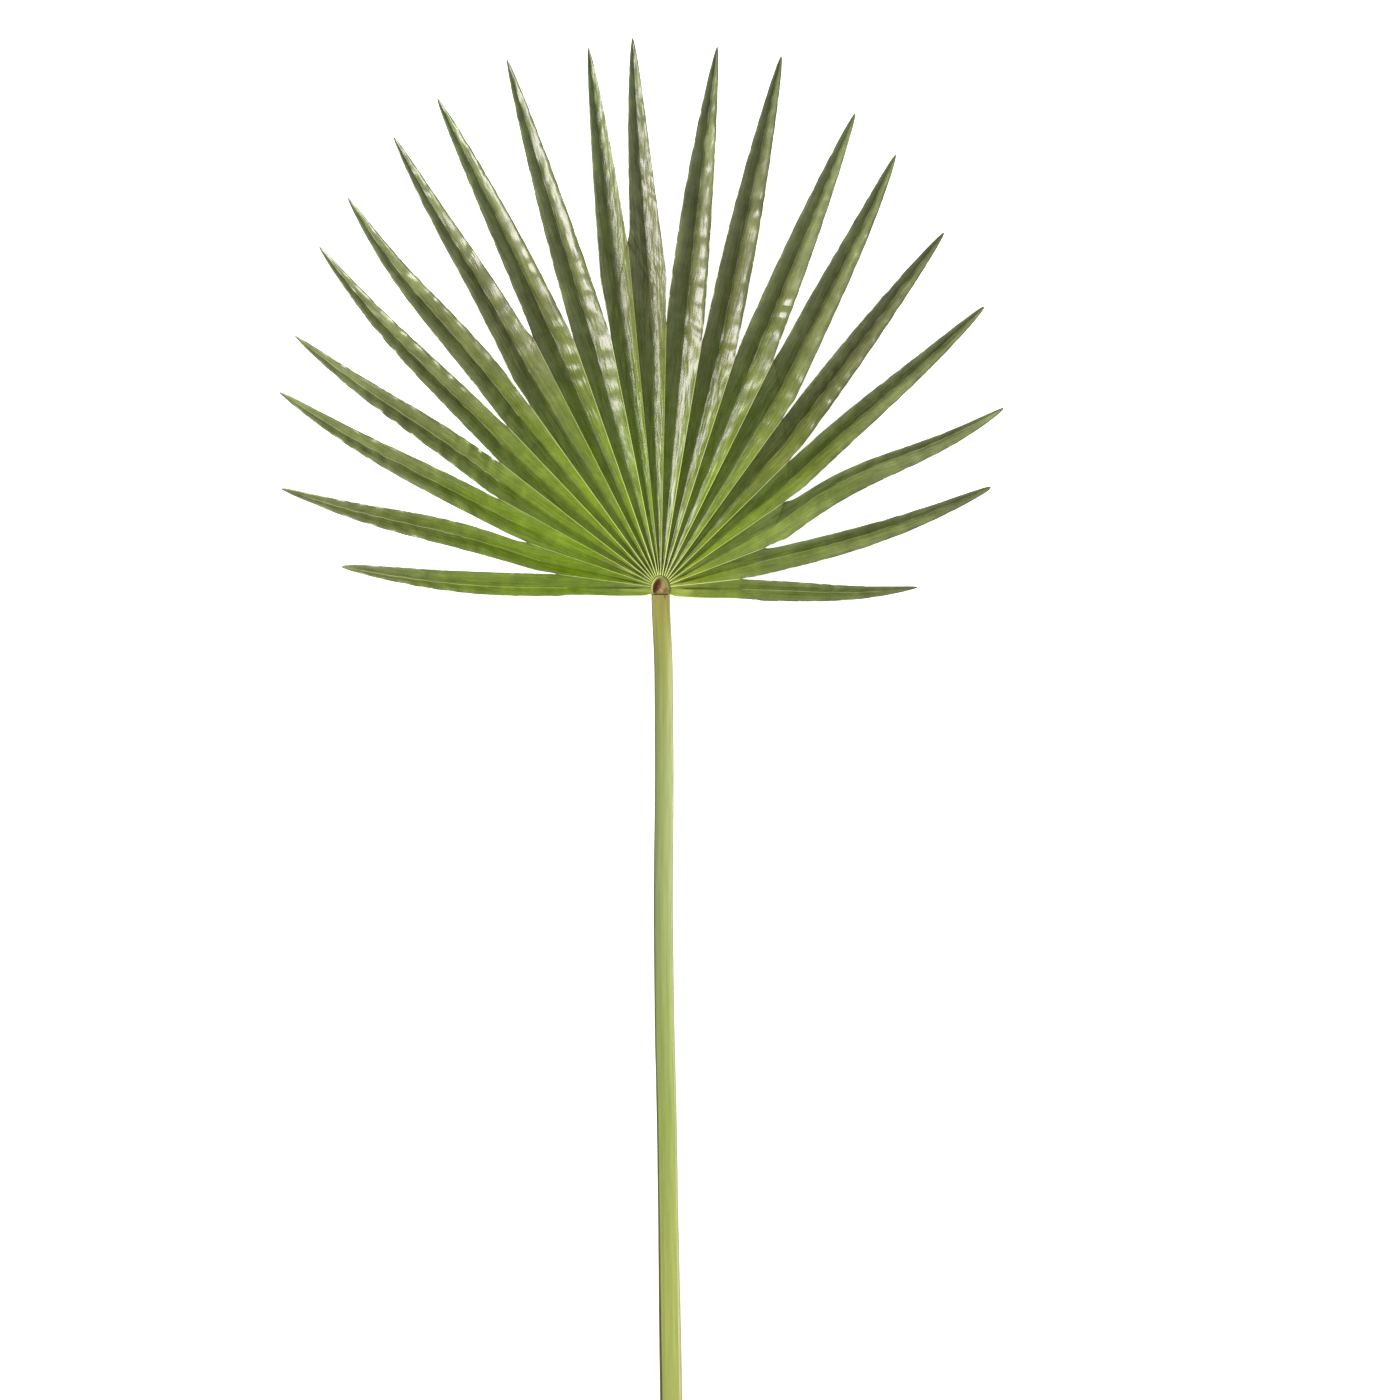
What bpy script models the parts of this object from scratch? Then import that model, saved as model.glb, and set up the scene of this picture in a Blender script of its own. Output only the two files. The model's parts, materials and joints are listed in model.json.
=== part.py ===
"""A cut fan palm leaf lying on its underside: the pleated blade with its twenty fingers, the stalk
that carries it and the small scale where they meet.

Metres, +Z up, +Y towards the top of the fan. Places are worked out round the hub, the point where
the ribs meet, and the whole leaf is then centred over the origin. Bearings are in degrees, from +X
towards +Y.
"""

from math import asin, atan2, cos, degrees, exp, hypot, pi, radians, sin, tan
from typing import NamedTuple

import bmesh
import bpy
from mathutils import Vector

MM = 0.001


class Finger(NamedTuple):
    """One finger of the blade, in millimetres and degrees."""

    length: float  # from the hub to the tip
    rib: float  # bearing of its middle rib in the palm
    tip: float  # bearing of its tip
    left: float  # width from rib to edge on the side of larger bearings
    right: float  # width from rib to edge on the other side
    fall: float  # how bluntly the width falls away towards the tip
    belly: float  # how much it swells along the way
    bow: float  # how far the rib bows aside, towards larger bearings
    curl: float  # how far it swings one way and then the other
    lift: float  # height of the tip over the ground


class Seam(NamedTuple):
    """The ridge that joins two fingers, in millimetres and degrees."""

    bearing: float
    length: float  # from the hub to where the fingers part


FINGERS = (
    Finger(177.8, 180.1, 176.2, 4.6, 7.4, 0.38, 0.27, 3.6, 0.0, 2.0),
    Finger(218.3, 167.6, 165.3, 5.6, 5.6, 0.45, 0.60, -0.3, -1.3, 0.0),
    Finger(238.5, 155.9, 152.8, 7.2, 7.2, 0.50, 0.25, 2.5, -0.6, 3.0),
    Finger(247.3, 146.6, 145.4, 8.3, 8.3, 0.60, 0.14, 0.8, -0.8, 5.0),
    Finger(268.8, 137.7, 135.0, 8.1, 8.1, 0.57, 0.16, 2.9, -0.7, 0.0),
    Finger(278.1, 129.5, 128.7, 8.8, 8.8, 0.58, 0.20, 2.1, -1.4, 4.0),
    Finger(291.4, 121.3, 120.6, 10.0, 10.0, 0.62, 0.00, -0.3, -0.7, 6.0),
    Finger(299.3, 113.2, 114.5, 9.8, 9.8, 0.60, 0.05, -0.9, -0.1, 3.0),
    Finger(306.3, 105.3, 106.2, 9.9, 9.9, 0.62, 0.10, 0.1, 0.0, 0.0),
    Finger(303.1, 98.3, 97.6, 8.7, 9.4, 0.62, 0.05, -0.3, 0.0, 4.0),
    Finger(306.1, 92.0, 92.9, 10.0, 9.7, 0.62, 0.00, 0.7, 0.0, 7.0),
    Finger(302.9, 84.6, 84.0, 10.7, 10.4, 0.62, 0.12, 0.8, 0.0, 3.0),
    Finger(303.5, 76.2, 77.2, 9.4, 9.4, 0.55, 0.20, 0.2, 0.0, 0.0),
    Finger(285.5, 67.8, 67.7, 10.0, 10.0, 0.60, 0.10, -0.1, 0.0, 5.0),
    Finger(274.4, 58.8, 61.5, 9.8, 9.8, 0.58, 0.10, -0.7, 0.4, 3.0),
    Finger(252.7, 49.3, 51.4, 9.2, 8.7, 0.55, 0.12, 0.1, 0.0, 6.0),
    Finger(238.7, 39.5, 41.0, 8.2, 8.2, 0.50, 0.12, -0.2, 0.5, 0.0),
    Finger(215.5, 28.4, 27.7, 5.2, 9.6, 0.50, 0.20, 3.0, 2.3, 4.0),
    Finger(192.2, 14.6, 17.0, 5.6, 7.4, 0.42, 0.18, -4.0, 0.2, 0.0),
    Finger(143.1, -1.2, 0.2, 5.4, 6.2, 0.55, 0.17, -2.3, 0.5, 2.0),
)
SEAMS = (
    Seam(180.0, 45.0),
    Seam(172.6, 57.9),
    Seam(161.3, 77.8),
    Seam(151.2, 101.8),
    Seam(142.1, 112.7),
    Seam(133.5, 123.1),
    Seam(125.6, 123.7),
    Seam(117.0, 155.3),
    Seam(109.3, 145.5),
    Seam(101.2, 141.3),
    Seam(95.4, 192.0),
    Seam(88.7, 146.5),
    Seam(80.4, 138.3),
    Seam(72.0, 133.8),
    Seam(63.5, 140.5),
    Seam(54.1, 115.3),
    Seam(44.5, 99.6),
    Seam(34.5, 83.2),
    Seam(20.8, 62.1),
    Seam(6.1, 45.5),
    Seam(0.0, 45.0),
)
# The blade's two lower edges pass below the hub, by this much at the notch and further out.
EDGE_DROP_IN, EDGE_DROP_LEFT, EDGE_DROP_RIGHT = 3.4, 4.1, 6.2
EDGE_DROP_AT = 45.0

NOTCH_SIDE, NOTCH_TOP = 5.6, 6.9  # from the hub to the blade's inner edge
HUB_TOP = 11.6  # height of the blade's upper face at the notch
ARCH = 5.5  # how far the blade bows up between hub and tips
DROOP = 2.6  # power by which the fingers sink to the ground
FOLD = 36.0  # slope of the pleats, in degrees
VALLEY_ROUNDNESS = 1.3  # of the palm's folds; 1 makes a sharp valley along the rib
# Past the palm each half of a finger bulges up, steep at the rib and level at its margin.
BULGE, BULGE_SHARE = 1.7, 0.9  # span of its sine in radians, and how much of it shows
BULGE_FROM, BULGE_TO = -30.0, 30.0  # where it grows, from the end of the palm
THICK, KEEL = 0.95, 0.7  # of the sheet, and what the rib adds under it
KEEL_FROM, KEEL_TO = 14.0, 40.0  # where the ribs swell out of the root
SHOULDER = 3.0  # how soon a seam's width gives way to the finger's own
CLEARANCE = 0.5  # of a finger's edge to the line of its seam

ROWS_JOINED, ROWS_FREE, COLUMNS = 8, 14, 6
ROW_SPREAD = 1.2  # rows lie closer together near the hub

PETIOLE_END, PETIOLE_TOP = -494.0, -4.15
PETIOLE_STEP = 0.15  # over which its top drops to the tongue
PETIOLE_WIDE, PETIOLE_NARROW = 11.6, 10.0
PETIOLE_THICK_END, PETIOLE_THICK_TOP = 9.6, 9.0
PETIOLE_X_END, PETIOLE_X_TOP = 6.1, 0.2
PETIOLE_BOW = 0.8  # sideways, at half length
FOOT_LENGTH = 60.0  # of the flat that the stalk rests on
PETIOLE_RISE = 5.2  # of its underside at the hub
PETIOLE_FLAT = 0.88  # depth at which its round section is cut flat underneath
PETIOLE_CHEEK = 0.45  # height at which it is cut flat on top
CHANNEL_END, CHANNEL_TOP = 0.5, 1.1  # depth of the hollow along its upper side
CHANNEL_HALF = 0.81  # half width of the hollow, as a share of the stalk's
CHANNEL_FADE = 40.0  # over which it runs out below the hub
TONGUE_TIP, TONGUE_TOP, TONGUE_TAPER = 13.0, 10.2, 0.6
PETIOLE_RINGS, TONGUE_RINGS, PETIOLE_SIDES = 22, 4, 20

HASTULA_FOOT, HASTULA_RISE = 10.5, 3.9  # underside, and height above it
HASTULA_GAP = 0.5  # to the notch
HASTULA_SIDES, HASTULA_RINGS = 20, 10

GREEN, PALE, BROWN = (0.10, 0.19, 0.035), (0.35, 0.43, 0.11), (0.16, 0.08, 0.035)
SHARP_FROM = 30.0  # edges of the mesh with a steeper bend stay crisp
WELD = 0.00005


def polar(radius, bearing):
    """The plan point at a distance and bearing from the hub."""
    angle = radians(bearing)
    return Vector((radius * cos(angle), radius * sin(angle), 0.0))


def ease(share):
    """A share from 0 to 1, eased at both ends."""
    share = min(1.0, max(0.0, share))
    return share * share * (3.0 - 2.0 * share)


def mix(start, end, share):
    """The value at a share of the way from start to end."""
    return start + (end - start) * share


def notch(bearing):
    """Distance from the hub to the blade's inner edge."""
    return mix(NOTCH_SIDE, NOTCH_TOP, max(0.0, sin(radians(bearing))) ** 2)


def valley(radius, length, lift):
    """Height of a finger's rib, which arches up and then sinks to the ground."""
    share = radius / length
    sunk = share**DROOP
    return mix(HUB_TOP, THICK + lift, sunk) + ARCH * sin(pi * min(1.0, share))


class Edge:
    """One seam of the blade, or one of its two outer edges, with what both its fingers share."""

    def __init__(self, number):
        fingers = FINGERS[max(0, number - 1) : number + 1]
        self.bearing, self.length = SEAMS[number]
        self.drop = {0: EDGE_DROP_LEFT, len(FINGERS): EDGE_DROP_RIGHT}.get(number)
        self.side = 1.0 if number == 0 else -1.0
        self.finger_length = sum(f.length for f in fingers) / len(fingers)
        self.lift = sum(f.lift for f in fingers) / len(fingers)
        spans = [abs(f.rib - self.bearing_at(self.length)) for f in fingers]
        self.half_pitch = sum(spans) / len(spans)

    def bearing_at(self, radius):
        """The edge's bearing: constant on a seam, straight below the hub on an outer edge."""
        if self.drop is None:
            return self.bearing
        drop = mix(EDGE_DROP_IN, self.drop, min(1.0, radius / EDGE_DROP_AT))
        return self.bearing + self.side * degrees(asin(drop / radius))

    def point(self, row):
        """The edge's point on a row of the palm."""
        share = (row / ROWS_JOINED) ** ROW_SPREAD
        radius = mix(notch(self.bearing), self.length, share)
        place = polar(radius, self.bearing_at(radius))
        crest = radius * sin(radians(self.half_pitch)) * tan(radians(FOLD))
        place.z = valley(radius, self.finger_length, self.lift) + crest
        return place


def rib_place(finger, along, start):
    """A finger's rib in plan: straight in the palm, then bowed on its way to the tip."""
    if along <= start:
        return polar(along, finger.rib), 0.0
    share = min(1.0, (along - start) / (finger.length - start))
    root, tip = polar(start, finger.rib), polar(finger.length, finger.tip)
    aside = (tip - root).normalized().cross(Vector((0.0, 0.0, -1.0)))
    swing = finger.bow * sin(pi * share) + finger.curl * sin(2.0 * pi * share)
    return root.lerp(tip, share) + aside * swing, share


def free_edge(finger, edge, side, own_width, start, row):
    """A finger's own edge on a row past the seam. side is 1 for the side of larger bearings."""
    turn = radians(side * (edge.bearing_at(edge.length) - finger.rib))
    along_start, seam_width = edge.length * cos(turn), edge.length * sin(turn)
    along = mix(along_start, finger.length, 0.5 - 0.5 * cos(pi * row / ROWS_FREE))
    rib, share = rib_place(finger, along, start)
    aside = polar(side, mix(finger.rib, finger.tip, share) + 90.0)
    seam = polar(1.0, edge.bearing_at(edge.length))
    own = own_width * (1.0 - share) ** finger.fall * (1.0 + finger.belly * sin(pi * share))
    past = along - along_start
    shoulder = (seam_width - own) * exp(-past / SHOULDER) * (1.0 - share)
    room = abs(seam.cross(rib).z / seam.cross(aside).z)
    width = min(own + shoulder, room - CLEARANCE * (1.0 - exp(-past / SHOULDER)))
    place = rib + aside * width
    base = valley(along, finger.length, finger.lift)
    rise = edge.point(ROWS_JOINED).z - valley(along_start, finger.length, finger.lift)
    place.z = base + rise * width / seam_width
    return place, along


def finger_row(finger, edges, row):
    """A finger's left edge, rib and right edge on a row, and how far out and past the palm it is."""
    start = sum(edge.length for edge in edges) / 2
    ends = [edge.point(min(row, ROWS_JOINED)) for edge in edges]
    reach = sum(end.xy.length for end in ends) / 2
    if row > ROWS_JOINED:
        sides = zip(edges, (1.0, -1.0), (finger.left, finger.right))
        found = [free_edge(finger, *side, start, row - ROWS_JOINED) for side in sides]
        ends = [place for place, along in found]
        reach = sum(along for place, along in found) / 2
    rib, share = rib_place(finger, reach, start)
    rib.z = valley(reach, finger.length, finger.lift)
    return ends[0], rib, ends[1], reach, reach - start


def fold_shape(bend, past):
    """Height of a fold, as a share, on its way from rib to edge, at a distance past the palm."""
    bulge = sin(BULGE * bend) / sin(BULGE)
    grown = ease((past - BULGE_FROM) / (BULGE_TO - BULGE_FROM))
    return mix(bend**VALLEY_ROUNDNESS, bulge, BULGE_SHARE * grown)


def sheet_thickness(across, reach, length):
    """Thickness of the blade, with the rib's keel under the middle of each finger."""
    swell = ease((reach - KEEL_FROM) / (KEEL_TO - KEEL_FROM)) * (1.0 - reach / length)
    return THICK + KEEL * swell * (1.0 - abs(across)) ** 2


def finger_sheet(mesh, number):
    """Add one finger's upper face to the mesh, as a grid bent to its outline."""
    finger, edges = FINGERS[number], [Edge(number), Edge(number + 1)]
    rows = ROWS_JOINED + ROWS_FREE
    made = bmesh.ops.create_grid(mesh, x_segments=COLUMNS, y_segments=rows, size=0.5)
    thickness = mesh.verts.layers.float["thickness"]
    for vert in made["verts"]:
        across, row = vert.co.x * 2.0, round((vert.co.y + 0.5) * rows)
        left, rib, right, reach, past = finger_row(finger, edges, row)
        end = right if across > 0 else left
        place = rib.lerp(end, abs(across))
        place.z = mix(rib.z, end.z, fold_shape(abs(across), past))
        vert.co = place * MM
        vert[thickness] = sheet_thickness(across, reach, finger.length) * MM


def blade_mesh():
    """The blade: every finger's sheet, joined along the seams and given its thickness."""
    mesh = bmesh.new()
    thickness = mesh.verts.layers.float.new("thickness")
    for number in range(len(FINGERS)):
        finger_sheet(mesh, number)
    bmesh.ops.remove_doubles(mesh, verts=mesh.verts[:], dist=WELD)
    bmesh.ops.triangulate(mesh, faces=mesh.faces[:], quad_method="SHORT_EDGE")
    raised = bmesh.ops.extrude_face_region(mesh, geom=mesh.faces[:])
    upper = {part for part in raised["geom"] if isinstance(part, bmesh.types.BMVert)}
    for vert in mesh.verts:
        if vert not in upper:
            vert.co.z -= vert[thickness]
    bmesh.ops.recalc_face_normals(mesh, faces=mesh.faces[:])
    return mesh


def petiole_section(y):
    """The stalk at a place along it: its middle, half width, underside, scale of height, channel."""
    share = (y - PETIOLE_END) / (PETIOLE_TOP - PETIOLE_END)
    middle = mix(PETIOLE_X_END, PETIOLE_X_TOP, share) - PETIOLE_BOW * sin(pi * share)
    half_width = mix(PETIOLE_WIDE, PETIOLE_NARROW, share) / 2
    rise = ease((y - PETIOLE_END - FOOT_LENGTH) / (PETIOLE_TOP - PETIOLE_END - FOOT_LENGTH))
    height = mix(PETIOLE_THICK_END, PETIOLE_THICK_TOP, share) / (PETIOLE_CHEEK + PETIOLE_FLAT)
    channel = mix(CHANNEL_END, CHANNEL_TOP, share) * ease((PETIOLE_TOP - y) / CHANNEL_FADE)
    return middle, half_width, PETIOLE_RISE * rise, height, channel


def tongue_section(share):
    """The tongue under the blade, at a share of its length."""
    middle, half_width, underside, height, channel = petiole_section(PETIOLE_TOP)
    half_width *= 1.0 - TONGUE_TAPER * share
    top = mix(TONGUE_TOP, TONGUE_TOP - 0.2, share)
    low = mix(underside, top - 2.0, share**1.5)
    return middle, half_width, low, (top - low) / (PETIOLE_CHEEK + PETIOLE_FLAT), channel


def petiole_mesh():
    """The stalk: a cylinder with rings along it, drawn out to its length and section."""
    mesh = bmesh.new()
    rings = PETIOLE_RINGS + 1 + TONGUE_RINGS
    bmesh.ops.create_cone(
        mesh, cap_ends=True, segments=PETIOLE_SIDES, radius1=1.0, radius2=1.0, depth=1.0
    )
    lengthwise = [e for e in mesh.edges if abs(e.verts[0].co.z - e.verts[1].co.z) > 0.5]
    bmesh.ops.subdivide_edges(mesh, edges=lengthwise, cuts=rings - 1, use_grid_fill=True)
    for vert in mesh.verts:
        ring = round((vert.co.z + 0.5) * rings)
        if ring <= PETIOLE_RINGS:
            y = mix(PETIOLE_END, PETIOLE_TOP, ring / PETIOLE_RINGS)
            section = petiole_section(y)
        else:
            share = (ring - PETIOLE_RINGS - 1) / TONGUE_RINGS
            y = mix(PETIOLE_TOP + PETIOLE_STEP, TONGUE_TIP, share)
            section = tongue_section(share)
        middle, half_width, underside, height, channel = section
        rise = min(max(vert.co.y, -PETIOLE_FLAT), PETIOLE_CHEEK) + PETIOLE_FLAT
        hollow = max(0.0, 1.0 - (vert.co.x / CHANNEL_HALF) ** 2) if vert.co.y > PETIOLE_CHEEK else 0.0
        z = underside + rise * height - channel * hollow
        vert.co = Vector((middle + vert.co.x * half_width, y, z)) * MM
    bmesh.ops.recalc_face_normals(mesh, faces=mesh.faces[:])
    return mesh


def hastula_mesh():
    """The hastula: a low dome that fills the notch, flat underneath."""
    mesh = bmesh.new()
    bmesh.ops.create_uvsphere(mesh, u_segments=HASTULA_SIDES, v_segments=HASTULA_RINGS, radius=1.0)
    for vert in mesh.verts:
        bearing = degrees(atan2(vert.co.y, vert.co.x))
        place = polar(hypot(vert.co.x, vert.co.y) * (notch(bearing) - HASTULA_GAP), bearing)
        place.y = max(place.y, PETIOLE_TOP + HASTULA_GAP + PETIOLE_STEP)
        place.z = HASTULA_FOOT + HASTULA_RISE * max(0.0, vert.co.z)
        vert.co = place * MM
    bmesh.ops.recalc_face_normals(mesh, faces=mesh.faces[:])
    return mesh


def material(name, colour, roughness):
    """A plain leaf material."""
    made = bpy.data.materials.new(name)
    made.use_nodes = True
    shader = made.node_tree.nodes["Principled BSDF"]
    shader.inputs["Base Color"].default_value = (*colour, 1.0)
    shader.inputs["Roughness"].default_value = roughness
    shader.inputs["Metallic"].default_value = 0.0
    return made


def add_part(name, mesh, finish, root, collection):
    """Turn a mesh into a named object of the leaf."""
    data = bpy.data.meshes.new(name)
    mesh.to_mesh(data)
    mesh.free()
    data.materials.append(finish)
    data.shade_smooth()
    data.set_sharp_from_angle(angle=radians(SHARP_FROM))
    made = bpy.data.objects.new(name, data)
    made.parent = root
    collection.objects.link(made)
    return made


def centre_over_origin(root, parts):
    """Move the leaf so that the middle of its box stands over the origin."""
    places = [vert.co for part in parts for vert in part.data.vertices]
    for axis in (0, 1):
        along = [place[axis] for place in places]
        root.location[axis] = -(min(along) + max(along)) / 2


def main():
    """Build the leaf."""
    for old in list(bpy.data.objects):
        bpy.data.objects.remove(old, do_unlink=True)
    collection = bpy.data.collections.new("fan_palm_leaf")
    bpy.context.scene.collection.children.link(collection)
    root = bpy.data.objects.new("leaf_middle", None)
    collection.objects.link(root)
    parts = [
        add_part("blade", blade_mesh(), material("leaf_green", GREEN, 0.42), root, collection),
        add_part("petiole", petiole_mesh(), material("stalk_green", PALE, 0.5), root, collection),
        add_part("hastula", hastula_mesh(), material("scale_brown", BROWN, 0.7), root, collection),
    ]
    centre_over_origin(root, parts)


main()
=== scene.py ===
"""Looks of a cut fan palm leaf: the pleated blade, its stalk and the small scale between them.

The leaf lies on its underside on a white sweep, and the camera looks straight down on it. Lengths
are in millimetres round the hub, the point where the ribs meet, until a mesh is written in metres.
"""

from __future__ import annotations

import json
import logging
import math
import random
from dataclasses import dataclass
from enum import Enum
from typing import Iterable, NamedTuple, Sequence

import bmesh
import bpy
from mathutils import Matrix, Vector, noise

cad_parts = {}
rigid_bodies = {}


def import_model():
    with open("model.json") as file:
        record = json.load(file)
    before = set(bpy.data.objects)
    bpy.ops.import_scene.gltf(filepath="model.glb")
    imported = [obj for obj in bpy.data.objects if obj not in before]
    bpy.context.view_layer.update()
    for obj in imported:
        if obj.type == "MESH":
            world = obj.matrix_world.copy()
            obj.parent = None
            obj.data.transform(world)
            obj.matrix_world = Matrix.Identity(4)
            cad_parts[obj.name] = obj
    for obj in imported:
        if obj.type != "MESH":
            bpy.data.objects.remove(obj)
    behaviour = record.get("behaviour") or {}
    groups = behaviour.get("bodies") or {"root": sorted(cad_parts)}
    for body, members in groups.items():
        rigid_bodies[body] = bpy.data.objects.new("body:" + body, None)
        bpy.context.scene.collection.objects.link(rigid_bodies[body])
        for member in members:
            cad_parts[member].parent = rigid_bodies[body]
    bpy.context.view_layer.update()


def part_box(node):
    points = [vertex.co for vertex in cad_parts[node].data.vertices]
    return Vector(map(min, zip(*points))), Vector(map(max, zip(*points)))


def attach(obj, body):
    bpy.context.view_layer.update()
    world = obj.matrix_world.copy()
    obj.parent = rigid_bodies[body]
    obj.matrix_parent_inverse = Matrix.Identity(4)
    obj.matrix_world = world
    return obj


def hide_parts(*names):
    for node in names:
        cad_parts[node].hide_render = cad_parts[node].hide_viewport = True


log = logging.getLogger("palm_leaf")

MM = 0.001
UP = Vector((0.0, 0.0, 1.0))
HUB_BELOW_TOP = 6.4  # mm, from the top of the hastula's solid down to the hub
CHART = "Leaf"


class Half(Enum):
    """The two halves of a finger, by the side of larger or smaller bearings."""

    LEFT = 1.0
    RIGHT = -1.0


class Finger(NamedTuple):
    """One finger of the blade, in millimetres and degrees, as the solid has it."""

    length: float
    rib: float
    tip: float
    left: float
    right: float
    fall: float
    belly: float
    bow: float
    curl: float
    lift: float


class Seam(NamedTuple):
    """The ridge between two fingers: its bearing and how far out it reaches."""

    bearing: float
    length: float


FINGERS = (
    Finger(177.8, 180.1, 176.2, 4.6, 7.4, 0.38, 0.27, 3.6, 0.0, 2.0),
    Finger(218.3, 167.6, 165.3, 5.6, 5.6, 0.45, 0.60, -0.3, -1.3, 0.0),
    Finger(238.5, 155.9, 152.8, 7.2, 7.2, 0.50, 0.25, 2.5, -0.6, 3.0),
    Finger(247.3, 146.6, 145.4, 8.3, 8.3, 0.60, 0.14, 0.8, -0.8, 5.0),
    Finger(268.8, 137.7, 135.0, 8.1, 8.1, 0.57, 0.16, 2.9, -0.7, 0.0),
    Finger(278.1, 129.5, 128.7, 8.8, 8.8, 0.58, 0.20, 2.1, -1.4, 4.0),
    Finger(291.4, 121.3, 120.6, 10.0, 10.0, 0.62, 0.00, -0.3, -0.7, 6.0),
    Finger(299.3, 113.2, 114.5, 9.8, 9.8, 0.60, 0.05, -0.9, -0.1, 3.0),
    Finger(306.3, 105.3, 106.2, 9.9, 9.9, 0.62, 0.10, 0.1, 0.0, 0.0),
    Finger(303.1, 98.3, 97.6, 8.7, 9.4, 0.62, 0.05, -0.3, 0.0, 4.0),
    Finger(306.1, 92.0, 92.9, 10.0, 9.7, 0.62, 0.00, 0.7, 0.0, 7.0),
    Finger(302.9, 84.6, 84.0, 10.7, 10.4, 0.62, 0.12, 0.8, 0.0, 3.0),
    Finger(303.5, 76.2, 77.2, 9.4, 9.4, 0.55, 0.20, 0.2, 0.0, 0.0),
    Finger(285.5, 67.8, 67.7, 10.0, 10.0, 0.60, 0.10, -0.1, 0.0, 5.0),
    Finger(274.4, 58.8, 61.5, 9.8, 9.8, 0.58, 0.10, -0.7, 0.4, 3.0),
    Finger(252.7, 49.3, 51.4, 9.2, 8.7, 0.55, 0.12, 0.1, 0.0, 6.0),
    Finger(238.7, 39.5, 41.0, 8.2, 8.2, 0.50, 0.12, -0.2, 0.5, 0.0),
    Finger(215.5, 28.4, 27.7, 5.2, 9.6, 0.50, 0.20, 3.0, 2.3, 4.0),
    Finger(192.2, 14.6, 17.0, 5.6, 7.4, 0.42, 0.18, -4.0, 0.2, 0.0),
    Finger(143.1, -1.2, 0.2, 5.4, 6.2, 0.55, 0.17, -2.3, 0.5, 2.0),
)
SEAMS = (
    Seam(180.0, 45.0),
    Seam(172.6, 57.9),
    Seam(161.3, 77.8),
    Seam(151.2, 101.8),
    Seam(142.1, 112.7),
    Seam(133.5, 123.1),
    Seam(125.6, 123.7),
    Seam(117.0, 155.3),
    Seam(109.3, 145.5),
    Seam(101.2, 141.3),
    Seam(95.4, 192.0),
    Seam(88.7, 146.5),
    Seam(80.4, 138.3),
    Seam(72.0, 133.8),
    Seam(63.5, 140.5),
    Seam(54.1, 115.3),
    Seam(44.5, 99.6),
    Seam(34.5, 83.2),
    Seam(20.8, 62.1),
    Seam(6.1, 45.5),
    Seam(0.0, 45.0),
)


def mix(start: float, end: float, share: float) -> float:
    """The value at a share of the way from start to end."""
    return start + (end - start) * share


def ease(share: float) -> float:
    """A share from 0 to 1, eased at both ends."""
    share = min(1.0, max(0.0, share))
    return share * share * (3.0 - 2.0 * share)


def onset(place: float, begin: float, run: float) -> float:
    """A share that grows from 0 at a beginning to 1 where its run ends."""
    return ease((place - begin) / run)


def bell(distance: float, width: float) -> float:
    """A soft hump that is 1 at no distance and has all but gone past twice its width."""
    return math.exp(-((distance / width) ** 2))


def polar(radius: float, bearing: float) -> Vector:
    """The plan point at a distance and bearing in degrees from the hub."""
    angle = math.radians(bearing)
    return Vector((radius * math.cos(angle), radius * math.sin(angle), 0.0))


def linear(code: str) -> tuple[float, float, float, float]:
    """Turn an sRGB colour into the linear one that shaders take.

    Args:
        code: Six hex digits, such as "5A7A2B".

    Returns:
        Linear red, green, blue and an alpha of 1.
    """
    parts = [int(code[at : at + 2], 16) / 255.0 for at in (0, 2, 4)]
    light = [p / 12.92 if p <= 0.04045 else ((p + 0.055) / 1.055) ** 2.4 for p in parts]
    return (light[0], light[1], light[2], 1.0)


def add(
    tree: bpy.types.NodeTree,
    kind: str,
    inputs: dict | None = None,
    take: int | str = 0,
    stops: Sequence[tuple[float, str]] = (),
    **settings: object,
) -> bpy.types.NodeSocket:
    """Add a node with its settings and links.

    Args:
        tree: The node tree that takes the node.
        kind: The node's type, without its ShaderNode prefix.
        inputs: Sockets to link or values to set, by the input's number or name.
        take: The output that is wanted.
        stops: A colour ramp's places and hex colours, in order.
        **settings: Properties of the node.

    Returns:
        The wanted output socket.
    """
    node = tree.nodes.new("ShaderNode" + kind)
    for name, value in settings.items():
        setattr(node, name, value)
    for key, value in (inputs or {}).items():
        if isinstance(value, bpy.types.NodeSocket):
            tree.links.new(value, node.inputs[key])
        else:
            node.inputs[key].default_value = value
    for number, (place, code) in enumerate(stops):
        elements = node.color_ramp.elements
        element = elements[number] if number < len(elements) else elements.new(place)
        element.position, element.color = place, linear(code)
    return node.outputs[take]


# Settings that many nodes share.
EASED = {"interpolation_type": "SMOOTHSTEP"}
TIMES = {"operation": "MULTIPLY"}
MIXED = {"take": 2, "data_type": "RGBA"}
OVERLAID = {**MIXED, "blend_type": "OVERLAY"}


class Fade(NamedTuple):
    """How a value turns into a strength: from near to far, while the value goes from start to end."""

    start: float
    end: float
    near: float = 0.0
    far: float = 1.0

    def of(self, source: bpy.types.NodeSocket) -> dict[int, object]:
        """The inputs of a Map Range node that fades a source in this way."""
        return {0: source, **dict(enumerate(self, 1))}


class Shade(NamedTuple):
    """A pattern's darker and lighter tones, laid over a colour; BCBCBC would leave it as it is."""

    strength: float
    dark: tuple[float, str]
    light: tuple[float, str]


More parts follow.
